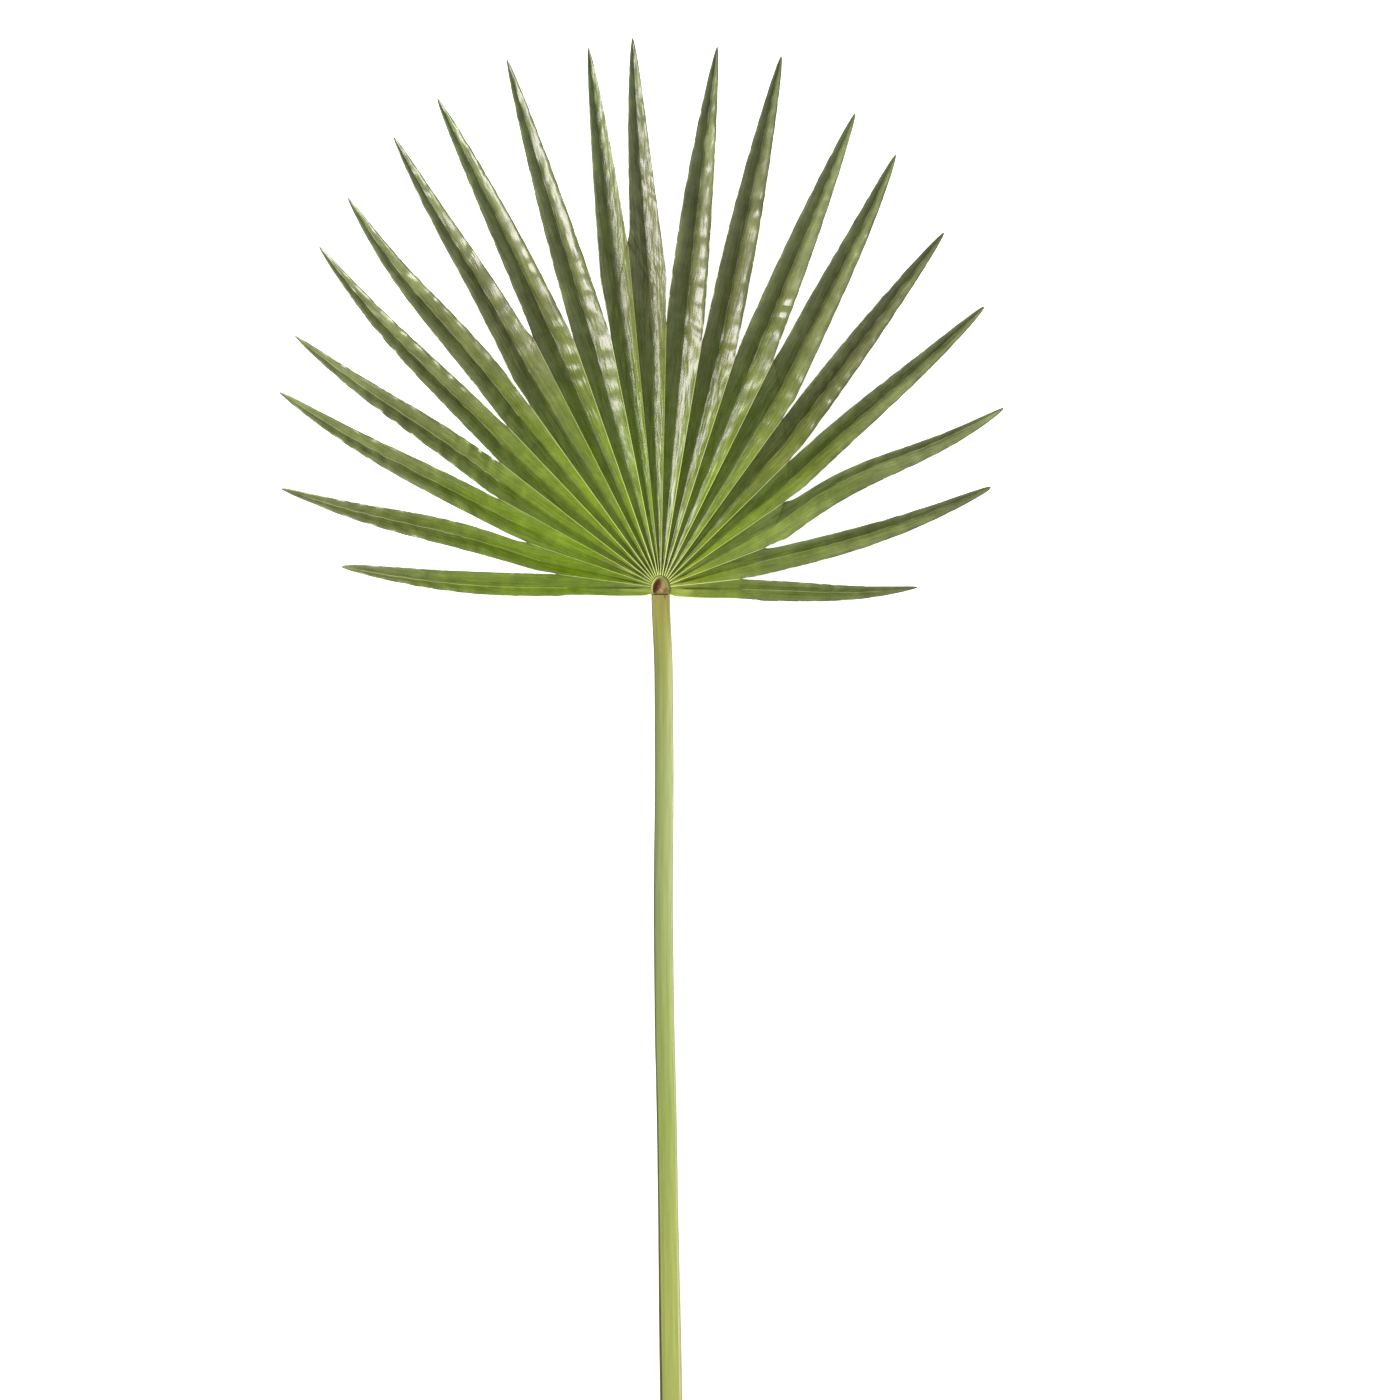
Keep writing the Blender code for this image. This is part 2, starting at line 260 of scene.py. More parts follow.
def shaded(
    tree: bpy.types.NodeTree,
    colour: bpy.types.NodeSocket,
    layers: Iterable[tuple[bpy.types.NodeSocket, Shade]],
) -> bpy.types.NodeSocket:
    """Lay the tones of patterns over a colour, one after another.

    Args:
        tree: The node tree.
        colour: The colour below them.
        layers: Each pattern, from 0 to 1, with its tones.

    Returns:
        The toned colour.
    """
    for pattern, tones in layers:
        over = add(tree, "ValToRGB", {0: pattern}, stops=(tones.dark, tones.light))
        colour = add(tree, "Mix", {0: tones.strength, 6: colour, 7: over}, **OVERLAID)
    return colour


def stretched_noise(
    tree: bpy.types.NodeTree,
    chart: bpy.types.NodeSocket,
    scale: tuple[float, float],
    detail: float,
) -> bpy.types.NodeSocket:
    """Noise on a piece's chart, stretched along its fibres.

    Args:
        tree: The node tree.
        chart: Place across and along the fibres in mm.
        scale: Features per mm, across and along.
        detail: Octaves.

    Returns:
        The noise, from 0 to 1.
    """
    place = add(tree, "VectorMath", {0: chart, 1: (*scale, 1.0)}, **TIMES)
    return add(tree, "TexNoise", {"Vector": place, "Scale": 1.0, "Detail": detail})


def start_material(name: str) -> tuple[bpy.types.Material, bpy.types.NodeTree, bpy.types.Node]:
    """Start a material.

    Args:
        name: Its name.

    Returns:
        The material, its node tree and its Principled shader.
    """
    made = bpy.data.materials.new(name)
    made.use_nodes = True
    return made, made.node_tree, made.node_tree.nodes["Principled BSDF"]


@dataclass(frozen=True)
class PalmLeafCuticle:
    """Palm leaf blade, grown: a waxy cuticle over fibres that run the length of each finger.

    It gives the eye deep olive fingers with broken grey highlights, a fresher yellow-green
    towards the hub, and pale cords along the seams. Patterns count features per mm, across and
    along the finger.
    """

    name: str = "palm_leaf_waxed_cuticle"
    greens: tuple[tuple[float, str], ...] = (
        (0.02, "869840"),
        (0.06, "687A1E"),
        (0.12, "5B7110"),
        (0.24, "596C1A"),
        (0.38, "566428"),
        (0.54, "586038"),
        (0.80, "5F6946"),
        (0.92, "5A6842"),
        (1.0, "4E5C38"),
    )
    reach: float = 310.0  # mm, over which the greens run
    clouds: tuple[float, float] = (0.12, 0.022)
    cloud_shift: Fade = Fade(0.2, 0.8, -0.10, 0.10)  # how far clouds move the greens
    bands: tuple[float, float] = (0.05, 0.09)
    fibre_pitch: float = 0.9  # mm; real fibres lie closer, and would not show at this size
    fibre_run: float = 22.0  # mm, that one fibre keeps its tone
    grain: tuple[float, float] = (1.0, 0.3)  # the real cells are far finer, and would not show
    swell: tuple[float, float] = (0.22, 0.05)  # the sheet's slow unevenness

    warm: str = "C1B4A4"  # laid over the right side of the fan
    warmth: float = 0.6
    fresh: str = "CED2B8"  # laid over the left of the palm, where the fingers are still joined
    fresh_side: Fade = Fade(0.05, 0.35, 0.8, 0.0)
    palm: tuple[tuple[float, str], ...] = (  # where the palm lies, as a share of the reach
        (0.06, "000000"),
        (0.14, "FFFFFF"),
        (0.3, "FFFFFF"),
        (0.48, "000000"),
    )
    pale: str = "747F56"  # the duller green of the lower right fingers
    pale_side: Fade = Fade(0.44, 0.56, 0.0, 0.4)
    pale_begins: Fade = Fade(15.0, 65.0)  # mm from the hub
    painted_sheen: str = "9EA886"  # painted sheen: a pale wash over the free fingers of the right side, where they shine
    painted_sheen_side: Fade = Fade(0.1, 0.4, 0.0, 0.08)
    painted_sheen_begins: Fade = Fade(110.0, 170.0)  # mm from the hub

    finger_tones: Shade = Shade(0.55, (0.0, "A9A6A2"), (1.0, "C8CEC4"))  # one finger from the next
    band_tones: Shade = Shade(0.45, (0.35, "A0A298"), (0.65, "D4D6CC"))
    cloud_tones: Shade = Shade(0.6, (0.3, "9A9A90"), (0.7, "D6D8D0"))
    fibre_tones: Shade = Shade(0.45, (0.3, "94948E"), (0.7, "DCDCD6"))
    grain_tones: Shade = Shade(0.22, (0.3, "94948E"), (0.7, "DCDCD6"))

    valley: str = "2C3A04"  # painted shade: dark lines in the pleats near the hub, where shade gathers between the folds
    crease_shade_width: Fade = Fade(0.2, 1.2, 0.9, 0.0)  # mm from the rib
    crease_shade_begins: Fade = Fade(8.0, 14.0, 0.25, 1.0)  # mm from the hub
    crease_shade_ends: Fade = Fade(15.0, 60.0, 1.0, 0.0)
    cord: str = "D2DC90"  # pale cords on the seams
    cord_width: Fade = Fade(0.08, 0.34, 1.0, 0.0)  # mm from the seam
    cord_reach: Fade = Fade(20.0, 120.0, 0.95, 0.6)  # mm from the hub
    margin: str = "434A22"  # thin dark lines along the free margins
    margin_width: Fade = Fade(0.25, 0.6, 0.85, 0.0)  # mm from the margin
    broad: Fade = Fade(1.0, 3.5)  # mm of half width, below which a tip has no lines
    glint_and_nerve_pale: str = "C2C8A2"  # painted highlight: pale dashes along the free margins, where their rolled edges catch the light; also the pale nerve on the rib
    dashes: tuple[float, float] = (0.2, 0.16)
    dash_share: Fade = Fade(0.52, 0.6, 0.0, 0.9)
    nerve_width: Fade = Fade(0.08, 0.3, 0.4, 0.0)  # mm from the rib
    torn: str = "4A4422"  # where two fingers part
    torn_share: float = 0.8
    fleck: str = "D5D9B0"  # small pale spots
    flecks: tuple[float, float] = (0.55, 0.4)
    fleck_size: Fade = Fade(0.03, 0.09, 0.6, 0.0)
    fleck_share: float = 0.5

    gloss: Fade = Fade(0.35, 0.65, 0.22, 0.34)  # roughness, by wear
    fibre_wear: float = 0.6
    grain_wear: float = 0.4
    relief: tuple[tuple[float, float], ...] = ((0.4, 0.26), (0.25, 0.26), (0.6, 1.2))
    """Strength and depth in mm of the fibres, the grain and the swell."""
    ior: float = 1.5

    def make(self) -> bpy.types.Material:
        """Build the leaf's material.

        Returns:
            The material.
        """
        made, tree, shader = start_material(self.name)
        chart = add(tree, "UVMap", uv_map=CHART)
        fibres = stretched_noise(tree, chart, (1.0 / self.fibre_pitch, 1.0 / self.fibre_run), 3.0)
        grain = stretched_noise(tree, chart, self.grain, 2.0)
        swell = stretched_noise(tree, chart, self.swell, 2.0)
        colour = self.lines(tree, self.ground(tree, chart, fibres, grain), chart)
        tree.links.new(colour, shader.inputs["Base Color"])
        wear = add(tree, "Math", {0: grain, 1: self.grain_wear}, **TIMES)
        wear = add(tree, "Math", {0: fibres, 1: self.fibre_wear, 2: wear}, operation="MULTIPLY_ADD")
        tree.links.new(add(tree, "MapRange", self.gloss.of(wear)), shader.inputs["Roughness"])
        shader.inputs["IOR"].default_value = self.ior
        below: dict[str, bpy.types.NodeSocket] = {}
        for height, (strength, depth) in zip((fibres, grain, swell), self.relief):
            raised = {"Strength": strength, "Distance": depth * MM, "Height": height, **below}
            below = {"Normal": add(tree, "Bump", raised)}
        tree.links.new(below["Normal"], shader.inputs["Normal"])
        return made

    def ground(
        self,
        tree: bpy.types.NodeTree,
        chart: bpy.types.NodeSocket,
        fibres: bpy.types.NodeSocket,
        grain: bpy.types.NodeSocket,
    ) -> bpy.types.NodeSocket:
        """The green of the sheet, from the hub to the tips, with a painted sheen on the free fingers of
        the right side.

        Args:
            tree: The node tree.
            chart: Place across and along the finger in mm.
            fibres: Height of the fibres.
            grain: Height of the grain.

        Returns:
            The colour.
        """
        along = add(tree, "SeparateXYZ", {0: chart}, take=1)
        share = add(tree, "Math", {0: along, 1: self.reach}, operation="DIVIDE")
        clouds = stretched_noise(tree, chart, self.clouds, 3.0)
        bands = stretched_noise(tree, chart, self.bands, 2.0)
        shift = add(tree, "MapRange", self.cloud_shift.of(clouds))
        share = add(tree, "Math", {0: share, 1: shift}, operation="ADD")
        colour = add(tree, "ValToRGB", {0: share}, stops=self.greens)
        tone = add(tree, "Attribute", take="Fac", attribute_name="tone")
        warm = add(tree, "Attribute", take="Fac", attribute_name="warm")
        warm = add(tree, "Math", {0: warm, 1: self.warmth}, **TIMES)
        colour = add(tree, "Mix", {0: warm, 6: colour, 7: linear(self.warm)}, **OVERLAID)
        palm = add(tree, "ValToRGB", {0: share}, stops=self.palm)
        outer = add(tree, "MapRange", self.pale_begins.of(along))
        # Where the painted sheen lies: the free fingers, far from the hub.
        free = add(tree, "MapRange", self.painted_sheen_begins.of(along), **EASED)
        for side, where, code, manner in (
            (self.fresh_side, palm, self.fresh, OVERLAID),
            (self.pale_side, outer, self.pale, MIXED),
            (self.painted_sheen_side, free, self.painted_sheen, MIXED),
        ):
            strength = add(tree, "MapRange", side.of(warm), **EASED)
            strength = add(tree, "Math", {0: strength, 1: where}, **TIMES)
            colour = add(tree, "Mix", {0: strength, 6: colour, 7: linear(code)}, **manner)
        return shaded(
            tree,
            colour,
            (
                (tone, self.finger_tones),
                (bands, self.band_tones),
                (clouds, self.cloud_tones),
                (fibres, self.fibre_tones),
                (grain, self.grain_tones),
            ),
        )

    def lines(
        self, tree: bpy.types.NodeTree, colour: bpy.types.NodeSocket, chart: bpy.types.NodeSocket
    ) -> bpy.types.NodeSocket:
        """Draw the seams' cords, the margins and their painted highlights, the painted shade in the hub's
        valleys, the nerves and the flecks.

        Args:
            tree: The node tree.
            colour: The sheet's colour.
            chart: Place across and along the finger in mm.

        Returns:
            The colour with its lines.
        """
        margin, joined, rib, notch = (
            add(tree, "Attribute", take="Fac", attribute_name=name)
            for name in ("margin", "joined", "rib", "notch")
        )
        along = add(tree, "SeparateXYZ", {0: chart}, take=1)
        # Painted shade in the pleats' valleys near the hub, darkest at the rib.
        begins = add(tree, "MapRange", self.crease_shade_begins.of(along))
        near_hub = add(tree, "MapRange", self.crease_shade_ends.of(along))
        near_hub = add(tree, "Math", {0: near_hub, 1: begins}, **TIMES)
        valley = add(tree, "MapRange", self.crease_shade_width.of(rib), **EASED)
        width = add(tree, "Math", {0: rib, 1: margin}, operation="ADD")
        broad = add(tree, "MapRange", self.broad.of(width))
        free = add(tree, "Math", {0: 1.0, 1: joined}, operation="SUBTRACT")
        free = add(tree, "Math", {0: free, 1: broad}, **TIMES)
        cord = add(tree, "MapRange", self.cord_width.of(margin), **EASED)
        fading = add(tree, "MapRange", self.cord_reach.of(along))
        cord = add(tree, "Math", {0: cord, 1: fading}, **TIMES)
        edge = add(tree, "MapRange", self.margin_width.of(margin), **EASED)
        nerve = add(tree, "MapRange", self.nerve_width.of(rib), **EASED)
        dashes = stretched_noise(tree, chart, self.dashes, 3.0)
        dashes = add(tree, "MapRange", self.dash_share.of(dashes), **EASED)
        dashes = add(tree, "Math", {0: dashes, 1: free}, **TIMES)
        spots = add(tree, "VectorMath", {0: chart, 1: (*self.flecks, 1.0)}, **TIMES)
        spots = add(tree, "TexVoronoi", {"Vector": spots, "Scale": 1.0})
        fleck = add(tree, "MapRange", self.fleck_size.of(spots), **EASED)
        # Lay each mark over the green: painted shade in the valleys, cords, dark margin lines, painted
        # margin highlights, nerves, torn notches, flecks.
        for shape, strength, code in (
            (valley, near_hub, self.valley),
            (cord, joined, self.cord),
            (edge, free, self.margin),
            (edge, dashes, self.glint_and_nerve_pale),
            (nerve, free, self.glint_and_nerve_pale),
            (notch, self.torn_share, self.torn),
            (fleck, self.fleck_share, self.fleck),
        ):
            share = add(tree, "Math", {0: shape, 1: strength}, **TIMES)
            colour = add(tree, "Mix", {0: share, 6: colour, 7: linear(code)}, **MIXED)
        return colour


@dataclass(frozen=True)
class StalkRind:
    """Palm stalk, grown: a smooth rind over long fibres, paler than the blade.

    It gives the eye a soft yellow-green rod with faint lengthwise bands, and a fibrous cut end.
    Patterns count features per mm, round and down the stalk.
    """

    name: str = "palm_stalk_smooth_rind"
    greens: tuple[tuple[float, str], ...] = (
        (0.0, "847F3A"),
        (0.06, "868C44"),
        (0.2, "8A975A"),
        (0.39, "8A9859"),
        (0.6, "88994B"),
        (0.8, "97A150"),
        (1.0, "949F50"),
    )
    length: float = 494.0
    bands: tuple[float, float] = (0.55, 0.006)
    fibres: tuple[float, float] = (2.6, 0.03)  # real fibres are finer, and would not show
    grain: tuple[float, float] = (1.4, 1.1)
    tones: tuple[tuple[float, str], ...] = ((0.3, "A0A298"), (0.7, "D4D4CE"))
    band_strength: float = 0.42
    fibre_strength: float = 0.28
    grain_strength: float = 0.16
    edges: tuple[tuple[float, float, str], ...] = ((-7.0, 0.92, "332C10"), (6.9, 0.5, "DCD2AE"))
    # Place in mm, strength and colour: painted shade down the left edge, painted light down the right.
    """Place in mm, strength and colour: a dark line down the left edge, a pale one down the right."""
    painted_side_width: tuple[float, float] = (1.1, 2.0)  # mm, to where a line is full and to where it ends
    stain: str = "6E4429"
    stain_at: tuple[float, float] = (2.5, 4.7)  # mm, across and down from the hub
    stain_run: float = 0.4  # how much shorter it is across than down
    stain_fray: float = 1.2
    stain_size: Fade = Fade(0.7, 1.7, 0.9, 0.0)
    scar: Fade = Fade(3.95, 4.15, 0.5, 0.0)  # mm down from the hub, a brown line at the scale's foot
    pith: str = "C9C795"
    fibre_end: str = "8A7A48"
    fibre_ends: float = 1.3  # per mm, on the cut
    roughness: Fade = Fade(0.3, 0.7, 0.35, 0.5)  # by the fibres
    ior: float = 1.45
    relief: tuple[float, float] = (0.35, 0.2)  # strength and depth in mm of the fibres

    def make(self) -> bpy.types.Material:
        """Build the stalk's material.

        Returns:
            The material.
        """
        made, tree, shader = start_material(self.name)
        chart = add(tree, "UVMap", uv_map=CHART)
        down = add(tree, "SeparateXYZ", {0: chart}, take=1)
        share = add(tree, "Math", {0: down, 1: self.length}, operation="DIVIDE")
        colour = add(tree, "ValToRGB", {0: share}, stops=self.greens)
        bands = stretched_noise(tree, chart, self.bands, 2.0)
        fibres = stretched_noise(tree, chart, self.fibres, 3.0)
        grain = stretched_noise(tree, chart, self.grain, 3.0)
        layers = (
            (bands, Shade(self.band_strength, *self.tones)),
            (fibres, Shade(self.fibre_strength, *self.tones)),
            (grain, Shade(self.grain_strength, *self.tones)),
        )
        colour = shaded(tree, colour, layers)
        beside = add(tree, "SeparateXYZ", {0: chart})
        # Painted shade down the stalk's left edge and painted light down its right edge.
        for place, strength, code in self.edges:
            apart = add(tree, "Math", {0: beside, 1: place}, operation="SUBTRACT")
            apart = add(tree, "Math", {0: apart}, operation="ABSOLUTE")
            line = add(tree, "MapRange", Fade(*self.painted_side_width, strength, 0.0).of(apart), **EASED)
            colour = add(tree, "Mix", {0: line, 6: colour, 7: linear(code)}, **MIXED)
        colour = self.stains(tree, colour, chart, grain)
        cut = add(tree, "Attribute", take="Fac", attribute_name="cut")
        colour = add(tree, "Mix", {0: cut, 6: colour, 7: self.cut_face(tree)}, **MIXED)
        tree.links.new(colour, shader.inputs["Base Color"])
        rough = add(tree, "MapRange", self.roughness.of(fibres))
        tree.links.new(rough, shader.inputs["Roughness"])
        shader.inputs["IOR"].default_value = self.ior
        strength, depth = self.relief
        bump = add(tree, "Bump", {"Strength": strength, "Distance": depth * MM, "Height": fibres})
        tree.links.new(bump, shader.inputs["Normal"])
        return made

    def stains(
        self,
        tree: bpy.types.NodeTree,
        colour: bpy.types.NodeSocket,
        chart: bpy.types.NodeSocket,
        grain: bpy.types.NodeSocket,
    ) -> bpy.types.NodeSocket:
        """Brown the top of the stalk where it meets the scale.

        Args:
            tree: The node tree.
            colour: The rind's colour.
            chart: Place round and down the stalk in mm.
            grain: Noise that frays the stain's outline.

        Returns:
            The stained colour.
        """
        offset = add(tree, "VectorMath", {0: chart, 1: (*self.stain_at, 0.0)}, operation="SUBTRACT")
        squeezed = add(tree, "VectorMath", {0: offset, 1: (1.0, self.stain_run, 0.0)}, **TIMES)
        apart = add(tree, "VectorMath", {0: squeezed}, operation="LENGTH", take=1)
        frayed = add(tree, "Math", {0: grain, 1: self.stain_fray, 2: apart}, operation="MULTIPLY_ADD")
        spot = add(tree, "MapRange", self.stain_size.of(frayed), **EASED)
        down = add(tree, "SeparateXYZ", {0: chart}, take=1)
        line = add(tree, "MapRange", self.scar.of(down), **EASED)
        both = add(tree, "Math", {0: spot, 1: line}, operation="MAXIMUM")
        return add(tree, "Mix", {0: both, 6: colour, 7: linear(self.stain)}, **MIXED)

    def cut_face(self, tree: bpy.types.NodeTree) -> bpy.types.NodeSocket:
        """Pale pith with the darker ends of its fibres, on the cut.

        Args:
            tree: The node tree.

        Returns:
            The colour.
        """
        coords = add(tree, "TexCoord", take="Object")
        cells = add(tree, "TexVoronoi", {"Vector": coords, "Scale": self.fibre_ends / MM})
        return add(tree, "ValToRGB", {0: cells}, stops=((0.15, self.fibre_end), (0.4, self.pith)))


@dataclass(frozen=True)
class DriedScale:
    """The hastula's tissue, grown and dried: brown and matt, in a yellow-green rim.

    It gives the eye the one warm brown spot of the leaf, dark in its hollow and tan beside it.
    """

    name: str = "palm_hastula_dried_scale"
    hollow: str = "5C3414"
    dome: str = "7A6C3A"
    streak: str = "74442A"
    streak_share: Fade = Fade(0.48, 0.62, 0.0, 0.75)
    ridge: str = "9C9A58"
    ridge_share: Fade = Fade(0.46, 0.34, 0.0, 0.7)
    rim: str = "8A9448"
    turn: float = math.radians(-30.0)  # of its streaks, which run along the right edge
    streaks: tuple[float, float, float] = (1.5, 0.26, 0.26)  # per mm, across and along them
    spots: float = 0.9  # per mm
    spot_tones: Shade = Shade(0.5, (0.3, "9C9C94"), (0.7, "DCDCD0"))
    relief: tuple[float, float] = (0.5, 0.3)  # strength and depth in mm of the spots
    roughness: float = 0.75

    def make(self) -> bpy.types.Material:
        """Build the scale's material.

        Returns:
            The material.
        """
        made, tree, shader = start_material(self.name)
        coords = add(tree, "TexCoord", take="Object")
        spots = add(tree, "TexNoise", {"Vector": coords, "Scale": self.spots / MM, "Detail": 4.0})
        turned = add(tree, "VectorRotate", {"Vector": coords, "Angle": self.turn}, rotation_type="Z_AXIS")
        run = tuple(per_mm / MM for per_mm in self.streaks)
        run = add(tree, "VectorMath", {0: turned, 1: run}, **TIMES)
        lines = add(tree, "TexNoise", {"Vector": run, "Scale": 1.0, "Detail": 3.0})
        dry = add(tree, "Attribute", take="Fac", attribute_name="dry")
        rim = add(tree, "Attribute", take="Fac", attribute_name="rim")
        streaks = add(tree, "MapRange", self.streak_share.of(lines), **EASED)
        ridges = add(tree, "MapRange", self.ridge_share.of(lines), **EASED)
        colour = add(tree, "Mix", {0: streaks, 6: linear(self.dome), 7: linear(self.streak)}, **MIXED)
        colour = add(tree, "Mix", {0: ridges, 6: colour, 7: linear(self.ridge)}, **MIXED)
        colour = add(tree, "Mix", {0: dry, 6: colour, 7: linear(self.hollow)}, **MIXED)
        colour = shaded(tree, colour, [(spots, self.spot_tones)])
        colour = add(tree, "Mix", {0: rim, 6: colour, 7: linear(self.rim)}, **MIXED)
        tree.links.new(colour, shader.inputs["Base Color"])
        shader.inputs["Roughness"].default_value = self.roughness
        strength, depth = self.relief
        bump = add(tree, "Bump", {"Strength": strength, "Distance": depth * MM, "Height": spots})
        tree.links.new(bump, shader.inputs["Normal"])
        return made


@dataclass(frozen=True)
class PaperSweep:
    """The studio's white paper, rolled: flat and matt, so that the leaf stands alone on it."""

    name: str = "white_paper_sweep"
    paper: str = "FAFAF9"
    pulp: str = "F6F6F5"
    pulp_grains: float = 0.3  # per mm
    roughness: float = 0.95
    glow: float = 0.85  # lit from behind as well, so that shadows stay faint

    def make(self) -> bpy.types.Material:
        """Build the paper's material.

        Returns:
            The material.
        """
        made, tree, shader = start_material(self.name)
        coords = add(tree, "TexCoord", take="Object")
        pulp = add(tree, "TexNoise", {"Vector": coords, "Scale": self.pulp_grains / MM, "Detail": 2.0})
        tone = add(tree, "ValToRGB", {0: pulp}, stops=((0.3, self.pulp), (0.7, self.paper)))
        tree.links.new(tone, shader.inputs["Base Color"])
        shader.inputs["Roughness"].default_value = self.roughness
        shader.inputs["Emission Color"].default_value = linear("FFFFFF")
        shader.inputs["Emission Strength"].default_value = self.glow
        return made


@dataclass
class LeafForm:
    """Sizes of the blade in millimetres round the hub, as its solid has them."""

    hub: Vector
    edge_drop_in: float = 3.4  # how far the outer edges lie below the hub, at the hub
    edge_drop_near: float = 0.9  # more of it, just outside the stalk
    edge_drop_run: float = 5.0  # over which that begins
    edge_drop_fade: float = 25.0  # and over which it ends
    edge_drop_left: float = 4.1
    edge_drop_right: float = 6.2
    edge_drop_at: float = 45.0
    notch_side: float = 5.6
    notch_top: float = 6.9
    hub_top: float = 11.4
    arch: float = 5.5
    droop: float = 2.6
    fold: float = 36.0
    roundness: float = 1.3
    bulge: float = 1.7
    bulge_share: float = 0.75
    bulge_from: float = -50.0
    bulge_to: float = 40.0
    sheet: float = 0.45
    row_spread: float = 1.2
    shoulder: float = 3.0
    clearance: float = 0.5
    ceiling: float = 23.9  # just under the solid's highest ridge

    def notch(self, bearing: float) -> float:
        """Distance from the hub to the blade's inner edge, at a bearing."""
        upward = max(0.0, math.sin(math.radians(bearing)))
        return mix(self.notch_side, self.notch_top, upward**2)

    def valley(self, radius: float, length: float, lift: float) -> float:
        """Height of a finger's rib, which arches up and then sinks to the ground.

        Args:
            radius: Distance from the hub.
            length: The finger's length.
            lift: How far its tip stays off the ground.

        Returns:
            The height.
        """
        share = radius / length
        rise = self.arch * math.sin(math.pi * min(1.0, share))
        return mix(self.hub_top, self.sheet + lift, share**self.droop) + rise

    def fold_shape(self, bend: float, past: float) -> float:
        """Height of a fold on its way from rib to edge.

        Args:
            bend: Share of the way from the rib to the edge.
            past: Distance past the palm.

        Returns:
            Share of the fold's height.
        """
        bulge = math.sin(self.bulge * bend) / math.sin(self.bulge)
        grown = ease((past - self.bulge_from) / (self.bulge_to - self.bulge_from))
        return mix(bend**self.roundness, bulge, self.bulge_share * grown)

    def world(self, place: Vector) -> Vector:
        """A place round the hub, in metres in the frame."""
        return (place + self.hub) * MM


class Edge:
    """One seam of the blade, or one of its two outer edges, with what both its fingers share."""

    def __init__(self, number: int, form: LeafForm) -> None:
        """Read the edge's sizes.

        Args:
            number: Its place, from 0 at the lower left edge.
            form: The leaf's sizes.
        """
        fingers = FINGERS[max(0, number - 1) : number + 1]
        self.form = form
        self.bearing, self.length = SEAMS[number]
        self.drop = {0: form.edge_drop_left, len(FINGERS): form.edge_drop_right}.get(number)
        self.side = 1.0 if number == 0 else -1.0
        self.finger_length = sum(f.length for f in fingers) / len(fingers)
        self.lift = sum(f.lift for f in fingers) / len(fingers)
        spans = [abs(f.rib - self.bearing_at(self.length)) for f in fingers]
        self.half_pitch = sum(spans) / len(spans)

    def bearing_at(self, radius: float) -> float:
        """The edge's bearing at a distance from the hub."""
        if self.drop is None:
            return self.bearing
        form = self.form
        drop = mix(form.edge_drop_in, self.drop, min(1.0, radius / form.edge_drop_at))
        near = onset(radius, form.notch_side, form.edge_drop_run)
        drop += form.edge_drop_near * near * ease((form.edge_drop_at - radius) / form.edge_drop_fade)
        return self.bearing + self.side * math.degrees(math.asin(drop / radius))

    def point(self, share: float) -> Vector:
        """The edge's point in the palm, at a share of the rows out to its end."""
        form = self.form
        radius = mix(form.notch(self.bearing), self.length, share**form.row_spread)
        place = polar(radius, self.bearing_at(radius))
        crest = radius * math.sin(math.radians(self.half_pitch)) * math.tan(math.radians(form.fold))
        place.z = form.valley(radius, self.finger_length, self.lift) + crest
        return place


def rib_place(finger: Finger, along: float, start: float) -> tuple[Vector, float]:
    """A finger's rib in plan: straight in the palm, then bowed on its way to the tip.

    Args:
        finger: The finger.
        along: Distance out.
        start: Where the finger leaves the palm.

    Returns:
        The place, and the share of the free length behind it.
    """
    if along <= start:
        return polar(along, finger.rib), 0.0
    share = min(1.0, (along - start) / (finger.length - start))
    root, tip = polar(start, finger.rib), polar(finger.length, finger.tip)
    aside = UP.cross((tip - root).normalized())
    swing = finger.bow * math.sin(math.pi * share) + finger.curl * math.sin(2.0 * math.pi * share)
    return root.lerp(tip, share) + aside * swing, share


class Row(NamedTuple):
    """One row of a finger: its edges and rib, and how far out and past the palm it lies."""

    left: Vector
    rib: Vector
    right: Vector
    reach: float
    past: float


class Node(NamedTuple):
    """One point of a charted grid: its vertex, and its place across and along in mm."""

    vert: bmesh.types.BMVert
    across: float
    along: float


def skin(
    mesh: bmesh.types.BMesh, chart: bmesh.types.BMLayerItem, grid: Sequence[Sequence[Node]], shift: float
) -> None:
    """Lay faces over a grid and chart them in mm.

    Args:
        mesh: The mesh.
        chart: Its UV layer.
        grid: Rows of points; a row that ends in one point gives triangles.
        shift: What is added to the chart across, so that patterns differ.
    """
    for near, far in zip(grid, grid[1:]):
        for at in range(len(near) - 1):
            corners = [near[at], near[at + 1], far[at + 1], far[at]]
            if far[at + 1].vert is far[at].vert:
                corners.pop()
            face = mesh.faces.new([corner.vert for corner in corners])
            for loop, corner in zip(face.loops, corners):
                loop[chart].uv = (corner.across + shift, corner.along)


def finish_mesh(mesh: bmesh.types.BMesh, name: str, sharp: float) -> bpy.types.Object:
    """Turn a mesh into a shaded object of the scene.

    Args:
        mesh: The mesh, which is freed.
        name: The piece's name.
        sharp: Degrees past which an edge stays crisp.

    Returns:
        The object.
    """
    bmesh.ops.recalc_face_normals(mesh, faces=mesh.faces[:])
    data = bpy.data.meshes.new(name)
    mesh.to_mesh(data)
    mesh.free()
    data.shade_smooth()
    data.set_sharp_from_angle(angle=math.radians(sharp))
    made = bpy.data.objects.new(name, data)
    bpy.context.scene.collection.objects.link(made)
    return made


